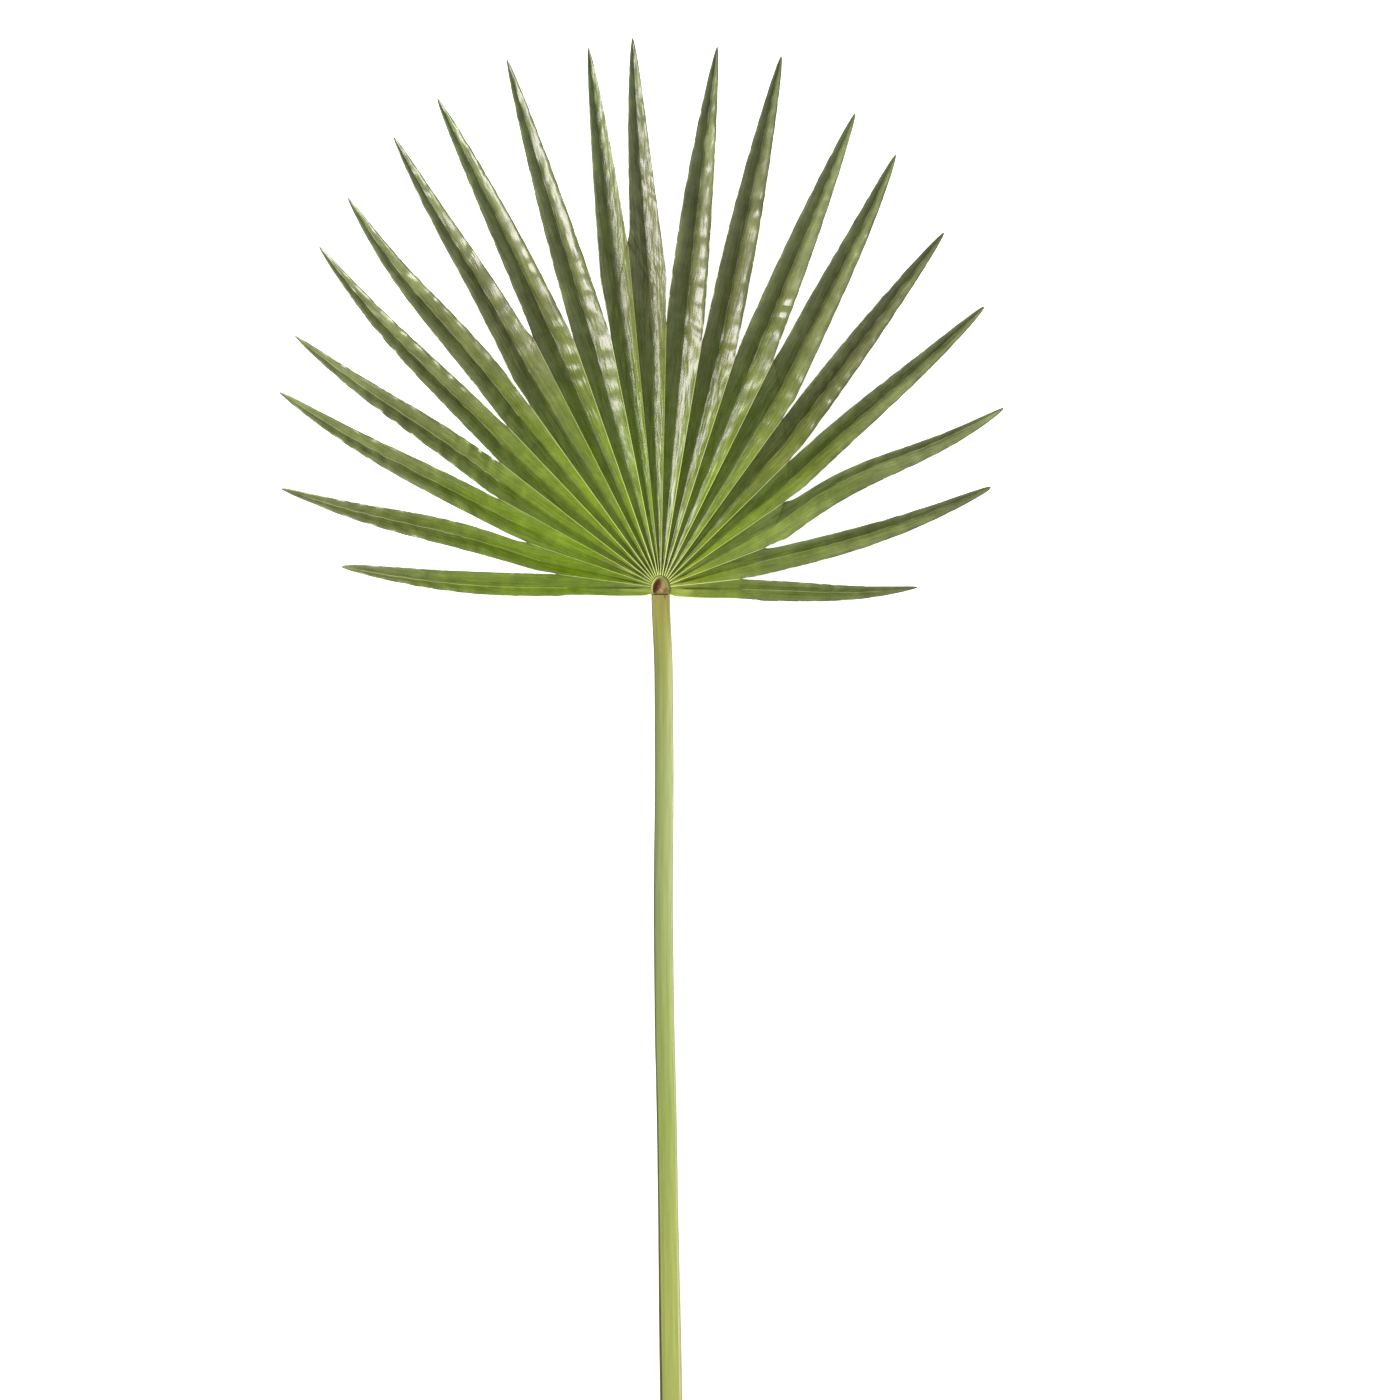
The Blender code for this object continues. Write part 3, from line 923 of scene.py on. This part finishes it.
@dataclass
class Blade:
    """The pleated blade, one grown sheet cut into twenty fingers."""

    form: LeafForm
    rows_joined: int = 60
    rows_free: int = 100
    steps: tuple[float, ...] = (0.0, 0.07, 0.20, 0.40, 0.62, 0.82, 0.95, 1.0)
    ripple_pitch: float = 14.0  # mm, of the cross ripples
    ripple_height: float = 0.46
    ripple_least: float = 0.2  # of their height, where they are faintest
    ripple_begins: tuple[float, float] = (50.0, 90.0)  # mm from the hub, and over how many mm
    ripple_ends: float = 50.0  # mm before the tip
    ripple_seam: float = 0.2  # share of a joined half over which they fade at its seam
    ripple_rib: float = 0.25  # and at its rib
    free_run: float = 6.0  # mm past the palm, until they reach the margin
    overtone: float = 0.25  # a quicker wave on the ripples
    warp_run: float = 40.0  # mm, over which their pitch wanders
    sweep_run: float = 22.0  # mm, over which they slant
    sweep: float = 0.4
    patch_run: float = 30.0  # mm, over which they come and go
    lump_height: float = 0.14
    lump_run: float = 5.0
    lump_begins: float = 60.0
    settle: float = 20.0  # mm round the palm's edge, over which a finger takes on its own relief
    nerve_height: float = 0.12
    nerve_width: float = 0.35
    sway: float = 0.5  # how far the ribs swing aside with the ripples
    wobble: float = 0.25  # and the free margins
    wobble_run: float = 30.0
    cord_height: float = 0.22
    cord_width: float = 0.35
    roll: float = 0.30  # how far the very margin turns down
    roll_width: float = 0.55
    keel: float = 0.8
    keel_width: float = 1 / 3  # of a half
    keel_begins: tuple[float, float] = (14.0, 26.0)
    thin: float = 0.28  # of the sheet at its margins
    thin_run: float = 40.0
    rim_from: float = 0.8  # share of a half where its margin begins
    notch_run: float = 1.8  # mm to both sides of a notch that are torn
    slack: tuple[int, ...] = (9, 10)  # fingers whose right halves hang hollow, and so shine less
    hollow: float = 0.08  # how deep they hang, as a share of their width
    hollow_begins: tuple[float, float] = (-80.0, 50.0)
    chart_step: float = 40.0  # mm, that sets each finger's patterns apart
    sharp: float = 30.0
    seed: int = 11

    def __post_init__(self) -> None:
        """Lay the columns out on both sides of the rib, and read the edges."""
        self.columns = tuple(-s for s in reversed(self.steps[1:])) + self.steps
        self.edges = [Edge(number, self.form) for number in range(len(SEAMS))]

    def free_edge(
        self, finger: Finger, edge: Edge, half: Half, start: float, spread: float
    ) -> tuple[Vector, float]:
        """A finger's own margin past its seam.

        Args:
            finger: The finger.
            edge: The seam that it leaves.
            half: Which half of the finger.
            start: Where the finger leaves the palm.
            spread: Share of the way from the seam's end to the tip.

        Returns:
            The margin's place and its distance out.
        """
        form, side = self.form, half.value
        turn = math.radians(side * (edge.bearing_at(edge.length) - finger.rib))
        along_start, seam_width = edge.length * math.cos(turn), edge.length * math.sin(turn)
        along = mix(along_start, finger.length, spread)
        rib, share = rib_place(finger, along, start)
        aside = polar(side, mix(finger.rib, finger.tip, share) + 90.0)
        seam = polar(1.0, edge.bearing_at(edge.length))
        full = finger.left if half is Half.LEFT else finger.right
        own = full * (1.0 - share) ** finger.fall * (1.0 + finger.belly * math.sin(math.pi * share))
        fade = math.exp(-(along - along_start) / form.shoulder)
        room = abs(seam.cross(rib).z / seam.cross(aside).z) - form.clearance * (1.0 - fade)
        width = min(own + (seam_width - own) * fade * (1.0 - share), room)
        place = rib + aside * width
        rise = edge.point(1.0).z - form.valley(along_start, finger.length, finger.lift)
        place.z = form.valley(along, finger.length, finger.lift) + rise * width / seam_width
        return place, along

    def row(self, number: int, at: int) -> Row:
        """One row of a finger.

        Args:
            number: The finger's place in the fan.
            at: The row's number from the hub.

        Returns:
            The row.
        """
        finger, edges = FINGERS[number], self.edges[number : number + 2]
        start = sum(edge.length for edge in edges) / 2
        ends = [edge.point(min(1.0, at / self.rows_joined)) for edge in edges]
        reach = sum(end.xy.length for end in ends) / 2
        if at > self.rows_joined:
            free = (at - self.rows_joined) / self.rows_free  # rows lie closer at notch and tip
            spread = mix(0.5 - 0.5 * math.cos(math.pi * free), free, 0.5)
            found = [self.free_edge(finger, e, half, start, spread) for e, half in zip(edges, Half)]
            ends = [place for place, along in found]
            reach = sum(along for place, along in found) / 2
        rib, _ = rib_place(finger, reach, start)
        rib.z = self.form.valley(reach, finger.length, finger.lift)
        return Row(ends[0], rib, ends[1], reach, reach - start)

    def ripple(self, number: int, across: float, out: float, past: float) -> float:
        """Height of the cross ripples that run over each half on its own.

        The bare numbers beside the finger's number and the side keep each half's noise apart.

        Args:
            number: The finger's place in the fan.
            across: Place from the rib, -1 at the left edge and 1 at the right.
            out: The point's own distance from the hub.
            past: Distance past the palm.

        Returns:
            The height in mm.
        """
        side = 0.0 if across < 0 else 40.0
        warp = noise.noise(Vector((out / self.warp_run, number * 7.3, side)))
        sweep = self.sweep * noise.noise(Vector((out / self.sweep_run, across * 0.9, number * 2.7)))
        turns = out / self.ripple_pitch + warp + sweep + number * 0.37 + side * 0.011
        wave = math.sin(2.0 * math.pi * turns) + self.overtone * math.sin(4.6 * math.pi * turns + number)
        patch = 0.85 + 0.9 * noise.noise(Vector((out / self.patch_run, number * 3.1 + 50.0, side)))
        body = onset(out, *self.ripple_begins) * ease((FINGERS[number].length - out) / self.ripple_ends)
        body *= mix(ease((1.0 - abs(across)) / self.ripple_seam), 1.0, ease(past / self.free_run))
        body *= ease(abs(across) / self.ripple_rib)
        return self.ripple_height * wave * max(self.ripple_least, patch) * body

    def relief(self, number: int, across: float, out: float, row: Row, width: float) -> float:
        """Height of all the fine forms on a finger.

        Args:
            number: The finger's place in the fan.
            across: Place from the rib, -1 at the left edge and 1 at the right.
            out: The point's own distance from the hub.
            row: The row.
            width: Width of this half.

        Returns:
            The height in mm.
        """
        inward = (1.0 - abs(across)) * width
        lumps = noise.noise(Vector((out / self.lump_run, across * 2.4, number * 5.7)))
        height = self.ripple(number, across, out, row.past)
        height += self.lump_height * lumps * ease(row.reach / self.lump_begins)
        nerve = self.nerve_height * bell(across * width, self.nerve_width)
        height += nerve * ease(row.past / self.settle + 1.0)
        if number in self.slack and across > 0.0:
            sag = 4.0 * across * (1.0 - across)
            height -= self.hollow * width * sag * onset(row.past, *self.hollow_begins)
        if row.past < 0.0:
            return height + self.cord_height * bell(inward, self.cord_width)
        return height - self.roll * bell(inward, self.roll_width) * ease(row.past / self.settle)

    def thickness(self, bend: float, row: Row, length: float) -> float:
        """Thickness of the sheet, thin at the margins, with the rib's keel under the middle.

        Args:
            bend: Share of the way from the rib to the edge.
            row: The row.
            length: The finger's length.

        Returns:
            The thickness in mm.
        """
        swell = onset(row.reach, *self.keel_begins) * (1.0 - row.reach / length)
        sheet = mix(self.form.sheet, self.thin, self.rim(bend) * ease(row.reach / self.thin_run))
        return sheet + self.keel * swell * max(0.0, 1.0 - bend / self.keel_width) ** 2

    def rim(self, bend: float) -> float:
        """How much of the margin a place is, at a share of the way from the rib to the edge."""
        return onset(bend, self.rim_from, 1.0 - self.rim_from)

    def build(self) -> bpy.types.Object:
        """Make the blade's mesh.

        Returns:
            The blade, in the frame.
        """
        mesh = bmesh.new()
        names = ("margin", "joined", "tone", "warm", "rib", "notch", "thick")
        layers = {name: mesh.verts.layers.float.new(name) for name in names}
        chart = mesh.loops.layers.uv.new(CHART)
        chance = random.Random(self.seed)
        shared: dict[tuple[int, int], bmesh.types.BMVert] = {}
        for number in range(len(FINGERS)):
            tone = chance.random()
            rows = range(self.rows_joined + self.rows_free + 1)
            grid = [self.line(mesh, layers, shared, number, at, tone) for at in rows]
            skin(mesh, chart, grid, number * self.chart_step)
        raised = bmesh.ops.extrude_face_region(mesh, geom=mesh.faces[:])
        upper = {part for part in raised["geom"] if isinstance(part, bmesh.types.BMVert)}
        for vert in mesh.verts:
            if vert not in upper:
                vert.co.z = max(0.0, vert.co.z - vert[layers["thick"]] * MM)
        return finish_mesh(mesh, "leaf_blade", self.sharp)

    def line(
        self,
        mesh: bmesh.types.BMesh,
        layers: dict[str, bmesh.types.BMLayerItem],
        shared: dict[tuple[int, int], bmesh.types.BMVert],
        number: int,
        at: int,
        tone: float,
    ) -> list[Node]:
        """Make the points of one row, sharing those on a seam with the finger beside it.

        Args:
            mesh: The blade's mesh.
            layers: Its layers, by name.
            shared: Points already made on seams, by seam and row.
            number: The finger's place in the fan.
            at: The row's number.
            tone: The finger's own shade.

        Returns:
            The row's points, from left to right.
        """
        row, length = self.row(number, at), FINGERS[number].length
        joined, last = at <= self.rows_joined, at == self.rows_joined + self.rows_free
        sway = self.sway * self.ripple(number, 0.5, row.reach, row.past)
        line: list[Node] = []
        for across in self.columns:
            end, bend = (row.left if across < 0 else row.right), abs(across)
            width = (end - row.rib).xy.length
            key = (number + (across > 0), at)
            on_seam = joined and bend == 1.0
            vert = line[0].vert if last and line else shared.get(key) if on_seam else None
            if vert is None:
                place = row.rib.lerp(end, bend)
                place.z = mix(row.rib.z, end.z, self.form.fold_shape(bend, row.past))
                place += polar(sway * (1.0 - bend), FINGERS[number].rib - 90.0)
                if width > 0.0:
                    side = math.copysign(1.0, across)
                    wobble = self.wobble * self.ripple(number, side, row.reach, row.past)
                    outward = (end - row.rib).xy.to_3d().normalized()
                    place += outward * wobble * bend**2 * ease(row.past / self.wobble_run)
                place.z += 0.0 if last else self.relief(number, across, place.xy.length, row, width)
                place.z = min(place.z, self.form.ceiling)
                vert = mesh.verts.new(self.form.world(place))
                values = {
                    "margin": (1.0 - bend) * width,
                    "joined": float(joined),
                    "tone": tone,
                    "warm": number / len(FINGERS),
                    "rib": bend * width,
                    "notch": bell(row.past, self.notch_run) * self.rim(bend),
                    "thick": self.thickness(bend, row, length),
                }
                for name, value in values.items():
                    vert[layers[name]] = value
            if on_seam:
                shared[key] = vert
            out = (vert.co / MM - self.form.hub).xy.length
            line.append(Node(vert, across * width, out))
        return line


class Section(NamedTuple):
    """The stalk's section at one place: middle, half width, underside, scale of height, channel."""

    middle: float
    half_width: float
    low: float
    height: float
    channel: float


@dataclass
class Stalk:
    """The leaf stalk, with a shallow channel on top and a tongue that carries the blade."""

    form: LeafForm
    end: float = -494.0
    top: float = -3.95
    step: float = 0.1
    wide: float = 12.0
    narrow: float = 10.4
    thick_end: float = 9.6
    thick_top: float = 9.0
    x_end: float = 6.1
    x_top: float = 0.2
    bow: float = 0.8
    sway_near: float = 1.3  # mm to the right, some way below the blade
    sway_near_from: tuple[float, float] = (4.0, 45.0)  # mm below the hub, and over how many mm
    sway_near_to: tuple[float, float] = (-190.0, 100.0)
    sway_far: float = 0.6  # and again in the lower half
    sway_far_from: tuple[float, float] = (230.0, 80.0)
    flare: float = 0.8  # mm, that it grows wider towards the cut
    flare_from: tuple[float, float] = (340.0, 90.0)
    nudge: float = 0.05  # to the left
    foot: float = 60.0
    rise: float = 5.2
    flat: float = 0.88
    cheek: float = 0.30
    cheek_softness: float = 0.09
    channel_end: float = 0.5
    channel_top: float = 1.1
    channel_half: float = 0.88
    channel_fade: float = 40.0
    tongue_tip: float = 13.0
    tongue_top: float = 10.2
    tongue_sink: float = 0.2
    tongue_thin: float = 2.0  # mm at its tip
    tongue_curve: float = 1.5
    tongue_taper: float = 0.6
    rings: int = 200
    tongue_rings: int = 8
    sides: int = 64
    lump: float = 0.10
    lump_turn: float = 2.5  # lumps round the stalk
    lump_run: float = 14.0  # mm along it
    lump_ends: float = 6.0
    cut_rings: tuple[float, ...] = (0.94, 0.90, 0.6, 0.3)  # the rind, then the pith inside it
    cut_depth: float = 0.25
    pith_lump: float = 0.12
    pith_grain: float = 0.9  # per mm
    sharp: float = 40.0

    def section(self, y: float) -> Section:
        """The section at a place along the stalk."""
        share = (y - self.end) / (self.top - self.end)
        middle = mix(self.x_end, self.x_top, share) - self.bow * math.sin(math.pi * share) - self.nudge
        middle += self.sway_near * onset(-y, *self.sway_near_from) * onset(y, *self.sway_near_to)
        middle += self.sway_far * onset(-y, *self.sway_far_from)
        width = mix(self.wide, self.narrow, share) + self.flare * onset(-y, *self.flare_from)
        lift = self.rise * onset(y, self.end + self.foot, self.top - self.end - self.foot)
        height = mix(self.thick_end, self.thick_top, share) / (self.cheek + self.flat)
        channel = mix(self.channel_end, self.channel_top, share) * ease((self.top - y) / self.channel_fade)
        return Section(middle, width / 2, lift, height, channel)

    def tongue(self, share: float) -> Section:
        """The section at a share of the tongue's length."""
        root = self.section(self.top)
        top = self.tongue_top - self.tongue_sink * share
        low = mix(root.low, top - self.tongue_thin, share**self.tongue_curve)
        half_width = root.half_width * (1.0 - self.tongue_taper * share)
        return Section(root.middle, half_width, low, (top - low) / (self.cheek + self.flat), 0.0)

    def ring_points(self, section: Section, y: float, lump: float) -> list[Vector]:
        """The points of one ring, from the middle of the top and round by the right.

        Args:
            section: The ring's section.
            y: Its place along the stalk.
            lump: How uneven the ring is.

        Returns:
            The points.
        """
        points = []
        for side in range(self.sides):
            angle = math.pi / 2 - 2.0 * math.pi * side / self.sides
            x, up = math.cos(angle), math.sin(angle)
            over = (up - self.cheek) / self.cheek_softness
            soft = up - self.cheek_softness * math.log1p(math.exp(over))
            held = max(min(up, soft), -self.flat)
            inside = max(0.0, 1.0 - (x / self.channel_half) ** 2) if up > 0.0 else 0.0
            spot = Vector((x * self.lump_turn, up * self.lump_turn, y / self.lump_run))
            uneven = lump * noise.noise(spot)
            z = section.low + (held + self.flat) * section.height - section.channel * inside
            z += uneven if held > -self.flat else 0.0
            points.append(Vector((section.middle + x * (section.half_width + uneven * 0.5), y, z)))
        return points

    def build(self) -> bpy.types.Object:
        """Make the stalk's mesh.

        Returns:
            The stalk, in the frame.
        """
        mesh = bmesh.new()
        chart = mesh.loops.layers.uv.new(CHART)
        cut = mesh.verts.layers.float.new("cut")
        places: list[tuple[Section, float, float]] = []
        for ring in range(self.rings + 1):
            y = mix(self.end, self.top, ring / self.rings)
            fade = ease((y - self.end) / self.lump_ends) * ease((self.top - y) / self.lump_ends)
            places.append((self.section(y), y, self.lump * fade))
        for ring in range(self.tongue_rings + 1):
            share = ring / self.tongue_rings
            places.append((self.tongue(share), mix(self.top + self.step, self.tongue_tip, share), 0.0))
        grid: list[list[Node]] = []
        half = self.sides // 2
        for section, y, lump in places:
            points = self.ring_points(section, y, lump)
            verts = [mesh.verts.new(self.form.world(point)) for point in points]
            arc = 2.0 * math.pi * section.half_width / self.sides
            turns = range(-half, self.sides + 1 - half)
            grid.append([Node(verts[turn % self.sides], turn * arc, -y) for turn in turns])
        skin(mesh, chart, grid, 0.0)
        self.cap(mesh, [point.vert for point in grid[0][:-1]], cut)
        mesh.faces.new([point.vert for point in grid[-1][:-1]])
        return finish_mesh(mesh, "leaf_stalk", self.sharp)

    def cap(
        self, mesh: bmesh.types.BMesh, rim: Sequence[bmesh.types.BMVert], cut: bmesh.types.BMLayerItem
    ) -> None:
        """Close the cut end with a pithy face that sinks a little inside its rind.

        Args:
            mesh: The stalk's mesh.
            rim: The last ring's points.
            cut: The layer that marks the cut face.
        """
        centre = sum((vert.co for vert in rim), Vector()) / len(rim)
        outer = list(rim)
        for number, share in enumerate(self.cut_rings):
            depth = self.cut_depth * MM if number > 0 else 0.0
            pith = self.pith_lump * MM if number > 1 else 0.0
            inner = []
            for vert in rim:
                place = centre.lerp(vert.co, share)
                lump = noise.noise(place * self.pith_grain / MM) * pith
                made = mesh.verts.new(place + Vector((0.0, depth + lump, 0.0)))
                made[cut] = 1.0
                inner.append(made)
            for at in range(len(rim)):
                after = (at + 1) % len(rim)
                mesh.faces.new((outer[at], outer[after], inner[after], inner[at]))
            outer = inner
        mesh.faces.new(outer)


@dataclass
class Hastula:
    """The scale at the hub: a brown patch, hollow on its left, inside a pale green rim."""

    form: LeafForm
    foot: float = 10.5
    low_edge: float = -3.75
    gap: float = 0.12
    lip: float = 0.8  # how far its foot reaches under the blade
    lip_top: float = 10.75
    sides: int = 72
    rings: tuple[float, ...] = (0.14, 0.28, 0.42, 0.56, 0.70, 0.82, 0.92, 1.0)
    rim_rings: tuple[float, ...] = (0.2, 0.45, 0.75, 1.0)
    patch: tuple[tuple[float, float], ...] = (
        (4.3, -0.2),
        (4.9, -1.8),
        (4.3, -3.2),
        (0.3, -3.3),
        (-3.7, -3.0),
        (-4.1, -0.6),
        (-3.6, 1.9),
        (-2.0, 4.4),
        (-0.2, 5.3),
        (1.6, 4.4),
        (3.1, 2.1),
    )
    centre: tuple[float, float] = (0.0, 0.4)
    rim_top: float = 13.4
    rim_inside: float = 0.5  # how much lower the rim begins beside the patch
    rim_outside: float = 11.5
    crest: float = 0.55
    slope_from: float = 0.75  # share of the patch from which it climbs to the rim
    dark_from: float = 0.88  # and from which its edge is dark
    dark: float = 0.55
    floor: float = 12.5
    hollow_at: tuple[float, float] = (-1.4, 1.0)
    hollow_lean: float = 64.0  # degrees from +X that its long axis leans
    hollow_size: tuple[float, float] = (3.7, 1.9)
    hollow_depth: float = 1.3
    hollow_reach: float = 1.5  # of its size, to where it ends
    dome_at: tuple[float, float] = (1.8, -1.3)
    dome_size: float = 2.2
    dome_height: float = 0.9
    crumples: tuple[tuple[float, float], ...] = ((1.3, 0.22), (3.1, 0.08))  # per mm, and mm high
    sharp: float = 60.0

    def outline(self, turn: float) -> Vector:
        """The brown patch's outline, a smooth loop through its points.

        Args:
            turn: Share of the way round, from 0 to 1.

        Returns:
            The place.
        """
        count = len(self.patch)
        place = turn * count
        at, share = int(place) % count, place - int(place)
        before, start, end, after = (Vector(self.patch[(at + k) % count]) for k in (-1, 0, 1, 2))
        into, out = (end - before) / 2, (after - start) / 2
        s2, s3 = share * share, share**3
        found = start * (2 * s3 - 3 * s2 + 1) + into * (s3 - 2 * s2 + share)
        found += end * (3 * s2 - 2 * s3) + out * (s3 - s2)
        return found.to_3d()

    def surface(self, place: Vector) -> tuple[float, float]:
        """The patch's height and how much of it is the dark hollow, at a place.

        Args:
            place: The place in plan.

        Returns:
            Height in mm and the hollow's share.
        """
        lean = polar(1.0, self.hollow_lean).xy
        offset = place.xy - Vector(self.hollow_at)
        along, aside = offset.dot(lean) / self.hollow_size[0], lean.cross(offset) / self.hollow_size[1]
        hollow = ease(self.hollow_reach - math.hypot(along, aside))
        dome = bell((place.xy - Vector(self.dome_at)).length, self.dome_size)
        crumple = sum(noise.noise(place * per_mm) * high for per_mm, high in self.crumples)
        height = self.floor - self.hollow_depth * hollow + self.dome_height * dome + crumple
        return height, hollow

    def build(self) -> bpy.types.Object:
        """Make the scale's mesh.

        Returns:
            The scale, in the frame.
        """
        mesh = bmesh.new()
        layers = {name: mesh.verts.layers.float.new(name) for name in ("dry", "rim")}
        centre = Vector((*self.centre, 0.0))
        inside = self.rim_top - self.rim_inside
        loops: list[list[bmesh.types.BMVert]] = []
        bounds = [self.outline(side / self.sides) for side in range(self.sides)]
        for share in self.rings:
            loops.append([])
            for bound in bounds:
                place = centre.lerp(bound, share)
                height, hollow = self.surface(place)
                place.z = mix(height, inside, onset(share, self.slope_from, 1.0 - self.slope_from))
                edge = self.dark * onset(share, self.dark_from, 1.0 - self.dark_from)
                loops[-1].append(self.point(mesh, layers, place, max(hollow, edge), 0.0))
        for share in self.rim_rings:
            loops.append([])
            for bound in bounds:
                bearing = math.degrees(math.atan2(bound.y, bound.x))
                outer = polar(self.form.notch(bearing) - self.gap, bearing)
                outer.y = max(outer.y, self.low_edge)
                place = bound.lerp(outer, share)
                crest = math.sin(math.pi * min(1.0, share * 0.8 + 0.2)) * self.crest
                place.z = mix(inside, self.rim_outside, share) + crest
                loops[-1].append(self.point(mesh, layers, place, 0.0, 1.0))
        last = loops[-1]
        for out, height in ((0.0, self.lip_top), (self.lip, self.lip_top), (self.lip, self.foot)):
            ring = [self.under(vert, out, height) for vert in last]
            loops.append([self.point(mesh, layers, place, 0.0, 1.0) for place in ring])
        middle_height, middle_hollow = self.surface(centre)
        middle = self.point(mesh, layers, centre + UP * middle_height, middle_hollow, 0.0)
        for at in range(self.sides):
            after = (at + 1) % self.sides
            mesh.faces.new((middle, loops[0][at], loops[0][after]))
            for inner, outer in zip(loops, loops[1:]):
                mesh.faces.new((inner[at], outer[at], outer[after], inner[after]))
        mesh.faces.new(loops[-1])
        return finish_mesh(mesh, "leaf_hastula", self.sharp)

    def under(self, vert: bmesh.types.BMVert, out: float, height: float) -> Vector:
        """A place below and outside a point of the rim, but not over the stalk.

        Args:
            vert: The rim's point.
            out: How far outside it the place lies.
            height: Its height.

        Returns:
            The place.
        """
        place = (vert.co / MM - self.form.hub).xy
        place += place.normalized() * out
        return Vector((place.x, max(place.y, self.low_edge), height))

    def point(
        self,
        mesh: bmesh.types.BMesh,
        layers: dict[str, bmesh.types.BMLayerItem],
        place: Vector,
        dry: float,
        rim: float,
    ) -> bmesh.types.BMVert:
        """Make one point of the scale.

        Args:
            mesh: The scale's mesh.
            layers: Its layers, by name.
            place: Where the point is.
            dry: How dark it is.
            rim: How green it is.

        Returns:
            The vertex.
        """
        vert = mesh.verts.new(self.form.world(place))
        vert[layers["dry"]], vert[layers["rim"]] = dry, rim
        return vert


@dataclass
class Studio:
    """White sweep, soft light from the left and a camera that looks straight down."""

    form: LeafForm
    frame_width: float = 777.8  # mm of ground that the picture spans
    lens: float = 200.0
    sensor: float = 36.0
    centre: tuple[float, float] = (21.95, -62.25)  # mm from the hub to the picture's middle
    focus_height: float = 5.0
    paper_size: float = 6.0  # m
    paper_gap: float = 0.4  # mm, that keeps the leaf's underside clear of the paper
    cloth: str = "FFF5F8"  # the softbox's faintly rosy white
    aim: float = 120.0  # mm above the hub, where the softbox points
    sky: str = "FBFCFF"
    sky_strength: float = 0.70

    def build(self) -> None:
        """Set up floor, lights, world and camera."""
        scene = bpy.context.scene
        scene.view_settings.view_transform = "Standard"
        self.floor()
        self.light("left_softbox", bearing=176.0, height=32.0, distance=1500.0, size=800.0, power=39.0)
        world = bpy.data.worlds.new("studio")
        world.use_nodes = True
        background = world.node_tree.nodes["Background"]
        background.inputs["Color"].default_value = linear(self.sky)
        background.inputs["Strength"].default_value = self.sky_strength
        scene.world = world
        self.camera()

    def floor(self) -> None:
        """Lay the paper."""
        mesh = bmesh.new()
        bmesh.ops.create_grid(mesh, x_segments=1, y_segments=1, size=self.paper_size)
        for vert in mesh.verts:
            vert.co.z = -self.paper_gap * MM
        paper = finish_mesh(mesh, "paper_sweep", 30.0)
        paper.data.materials.append(PaperSweep().make())

    def light(
        self, name: str, bearing: float, height: float, distance: float, size: float, power: float
    ) -> None:
        """Hang one soft light that faces the blade.

        Args:
            name: The lamp's name.
            bearing: Where it hangs, in degrees from +X.
            height: Its angle over the ground in degrees.
            distance: Its distance from the blade's middle in mm.
            size: Its side in mm.
            power: Its power in watts.
        """
        lamp = bpy.data.lights.new(name, "AREA")
        lamp.shape = "SQUARE"
        lamp.size = size * MM
        lamp.energy = power
        lamp.color = linear(self.cloth)[:3]
        made = bpy.data.objects.new(name, lamp)
        flat = polar(distance * math.cos(math.radians(height)), bearing)
        flat.z = distance * math.sin(math.radians(height))
        target = self.form.world(Vector((0.0, self.aim, 0.0)))
        made.location = target + flat * MM
        made.rotation_euler = (target - made.location).to_track_quat("-Z", "Y").to_euler()
        bpy.context.scene.collection.objects.link(made)

    def camera(self) -> None:
        """Hang the camera over the leaf, looking straight down."""
        data = bpy.data.cameras.new("above")
        data.lens, data.sensor_width = self.lens, self.sensor
        made = bpy.data.objects.new("above", data)
        height = self.frame_width * self.lens / self.sensor + self.focus_height
        made.location = self.form.world(Vector((*self.centre, height)))
        bpy.context.scene.collection.objects.link(made)
        bpy.context.scene.camera = made


def hand_over(piece: bpy.types.Object, finish: bpy.types.Material, node: str) -> None:
    """Dress a piece and tell the frame what it stands for.

    Args:
        piece: The piece.
        finish: Its material.
        node: The solid that it replaces.
    """
    piece.data.materials.append(finish)
    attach(piece, "root")
    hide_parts(node)
    log.info("%s: %d faces, for %s", piece.name, len(piece.data.polygons), node)


def corners(box: Iterable[Iterable[float]]) -> list[list[float]]:
    """A box's corners as plain lists of numbers."""
    return [[float(value) for value in corner] for corner in box]


def main() -> None:
    """Dress the leaf and light it."""
    logging.basicConfig(level=logging.INFO, format="%(message)s")
    for old in list(bpy.data.objects):
        bpy.data.objects.remove(old, do_unlink=True)
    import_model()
    low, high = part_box("hastula")
    hub_x = (low[0] + high[0]) / 2 / MM
    hub_y = high[1] / MM - HUB_BELOW_TOP
    form = LeafForm(hub=Vector((hub_x, hub_y, 0.0)))
    log.info("hub at %.2f, %.2f mm", hub_x, hub_y)
    hand_over(Blade(form).build(), PalmLeafCuticle().make(), "blade")
    hand_over(Stalk(form).build(), StalkRind().make(), "petiole")
    hand_over(Hastula(form).build(), DriedScale().make(), "hastula")
    Studio(form).build()


if __name__ == "__main__":
    main()
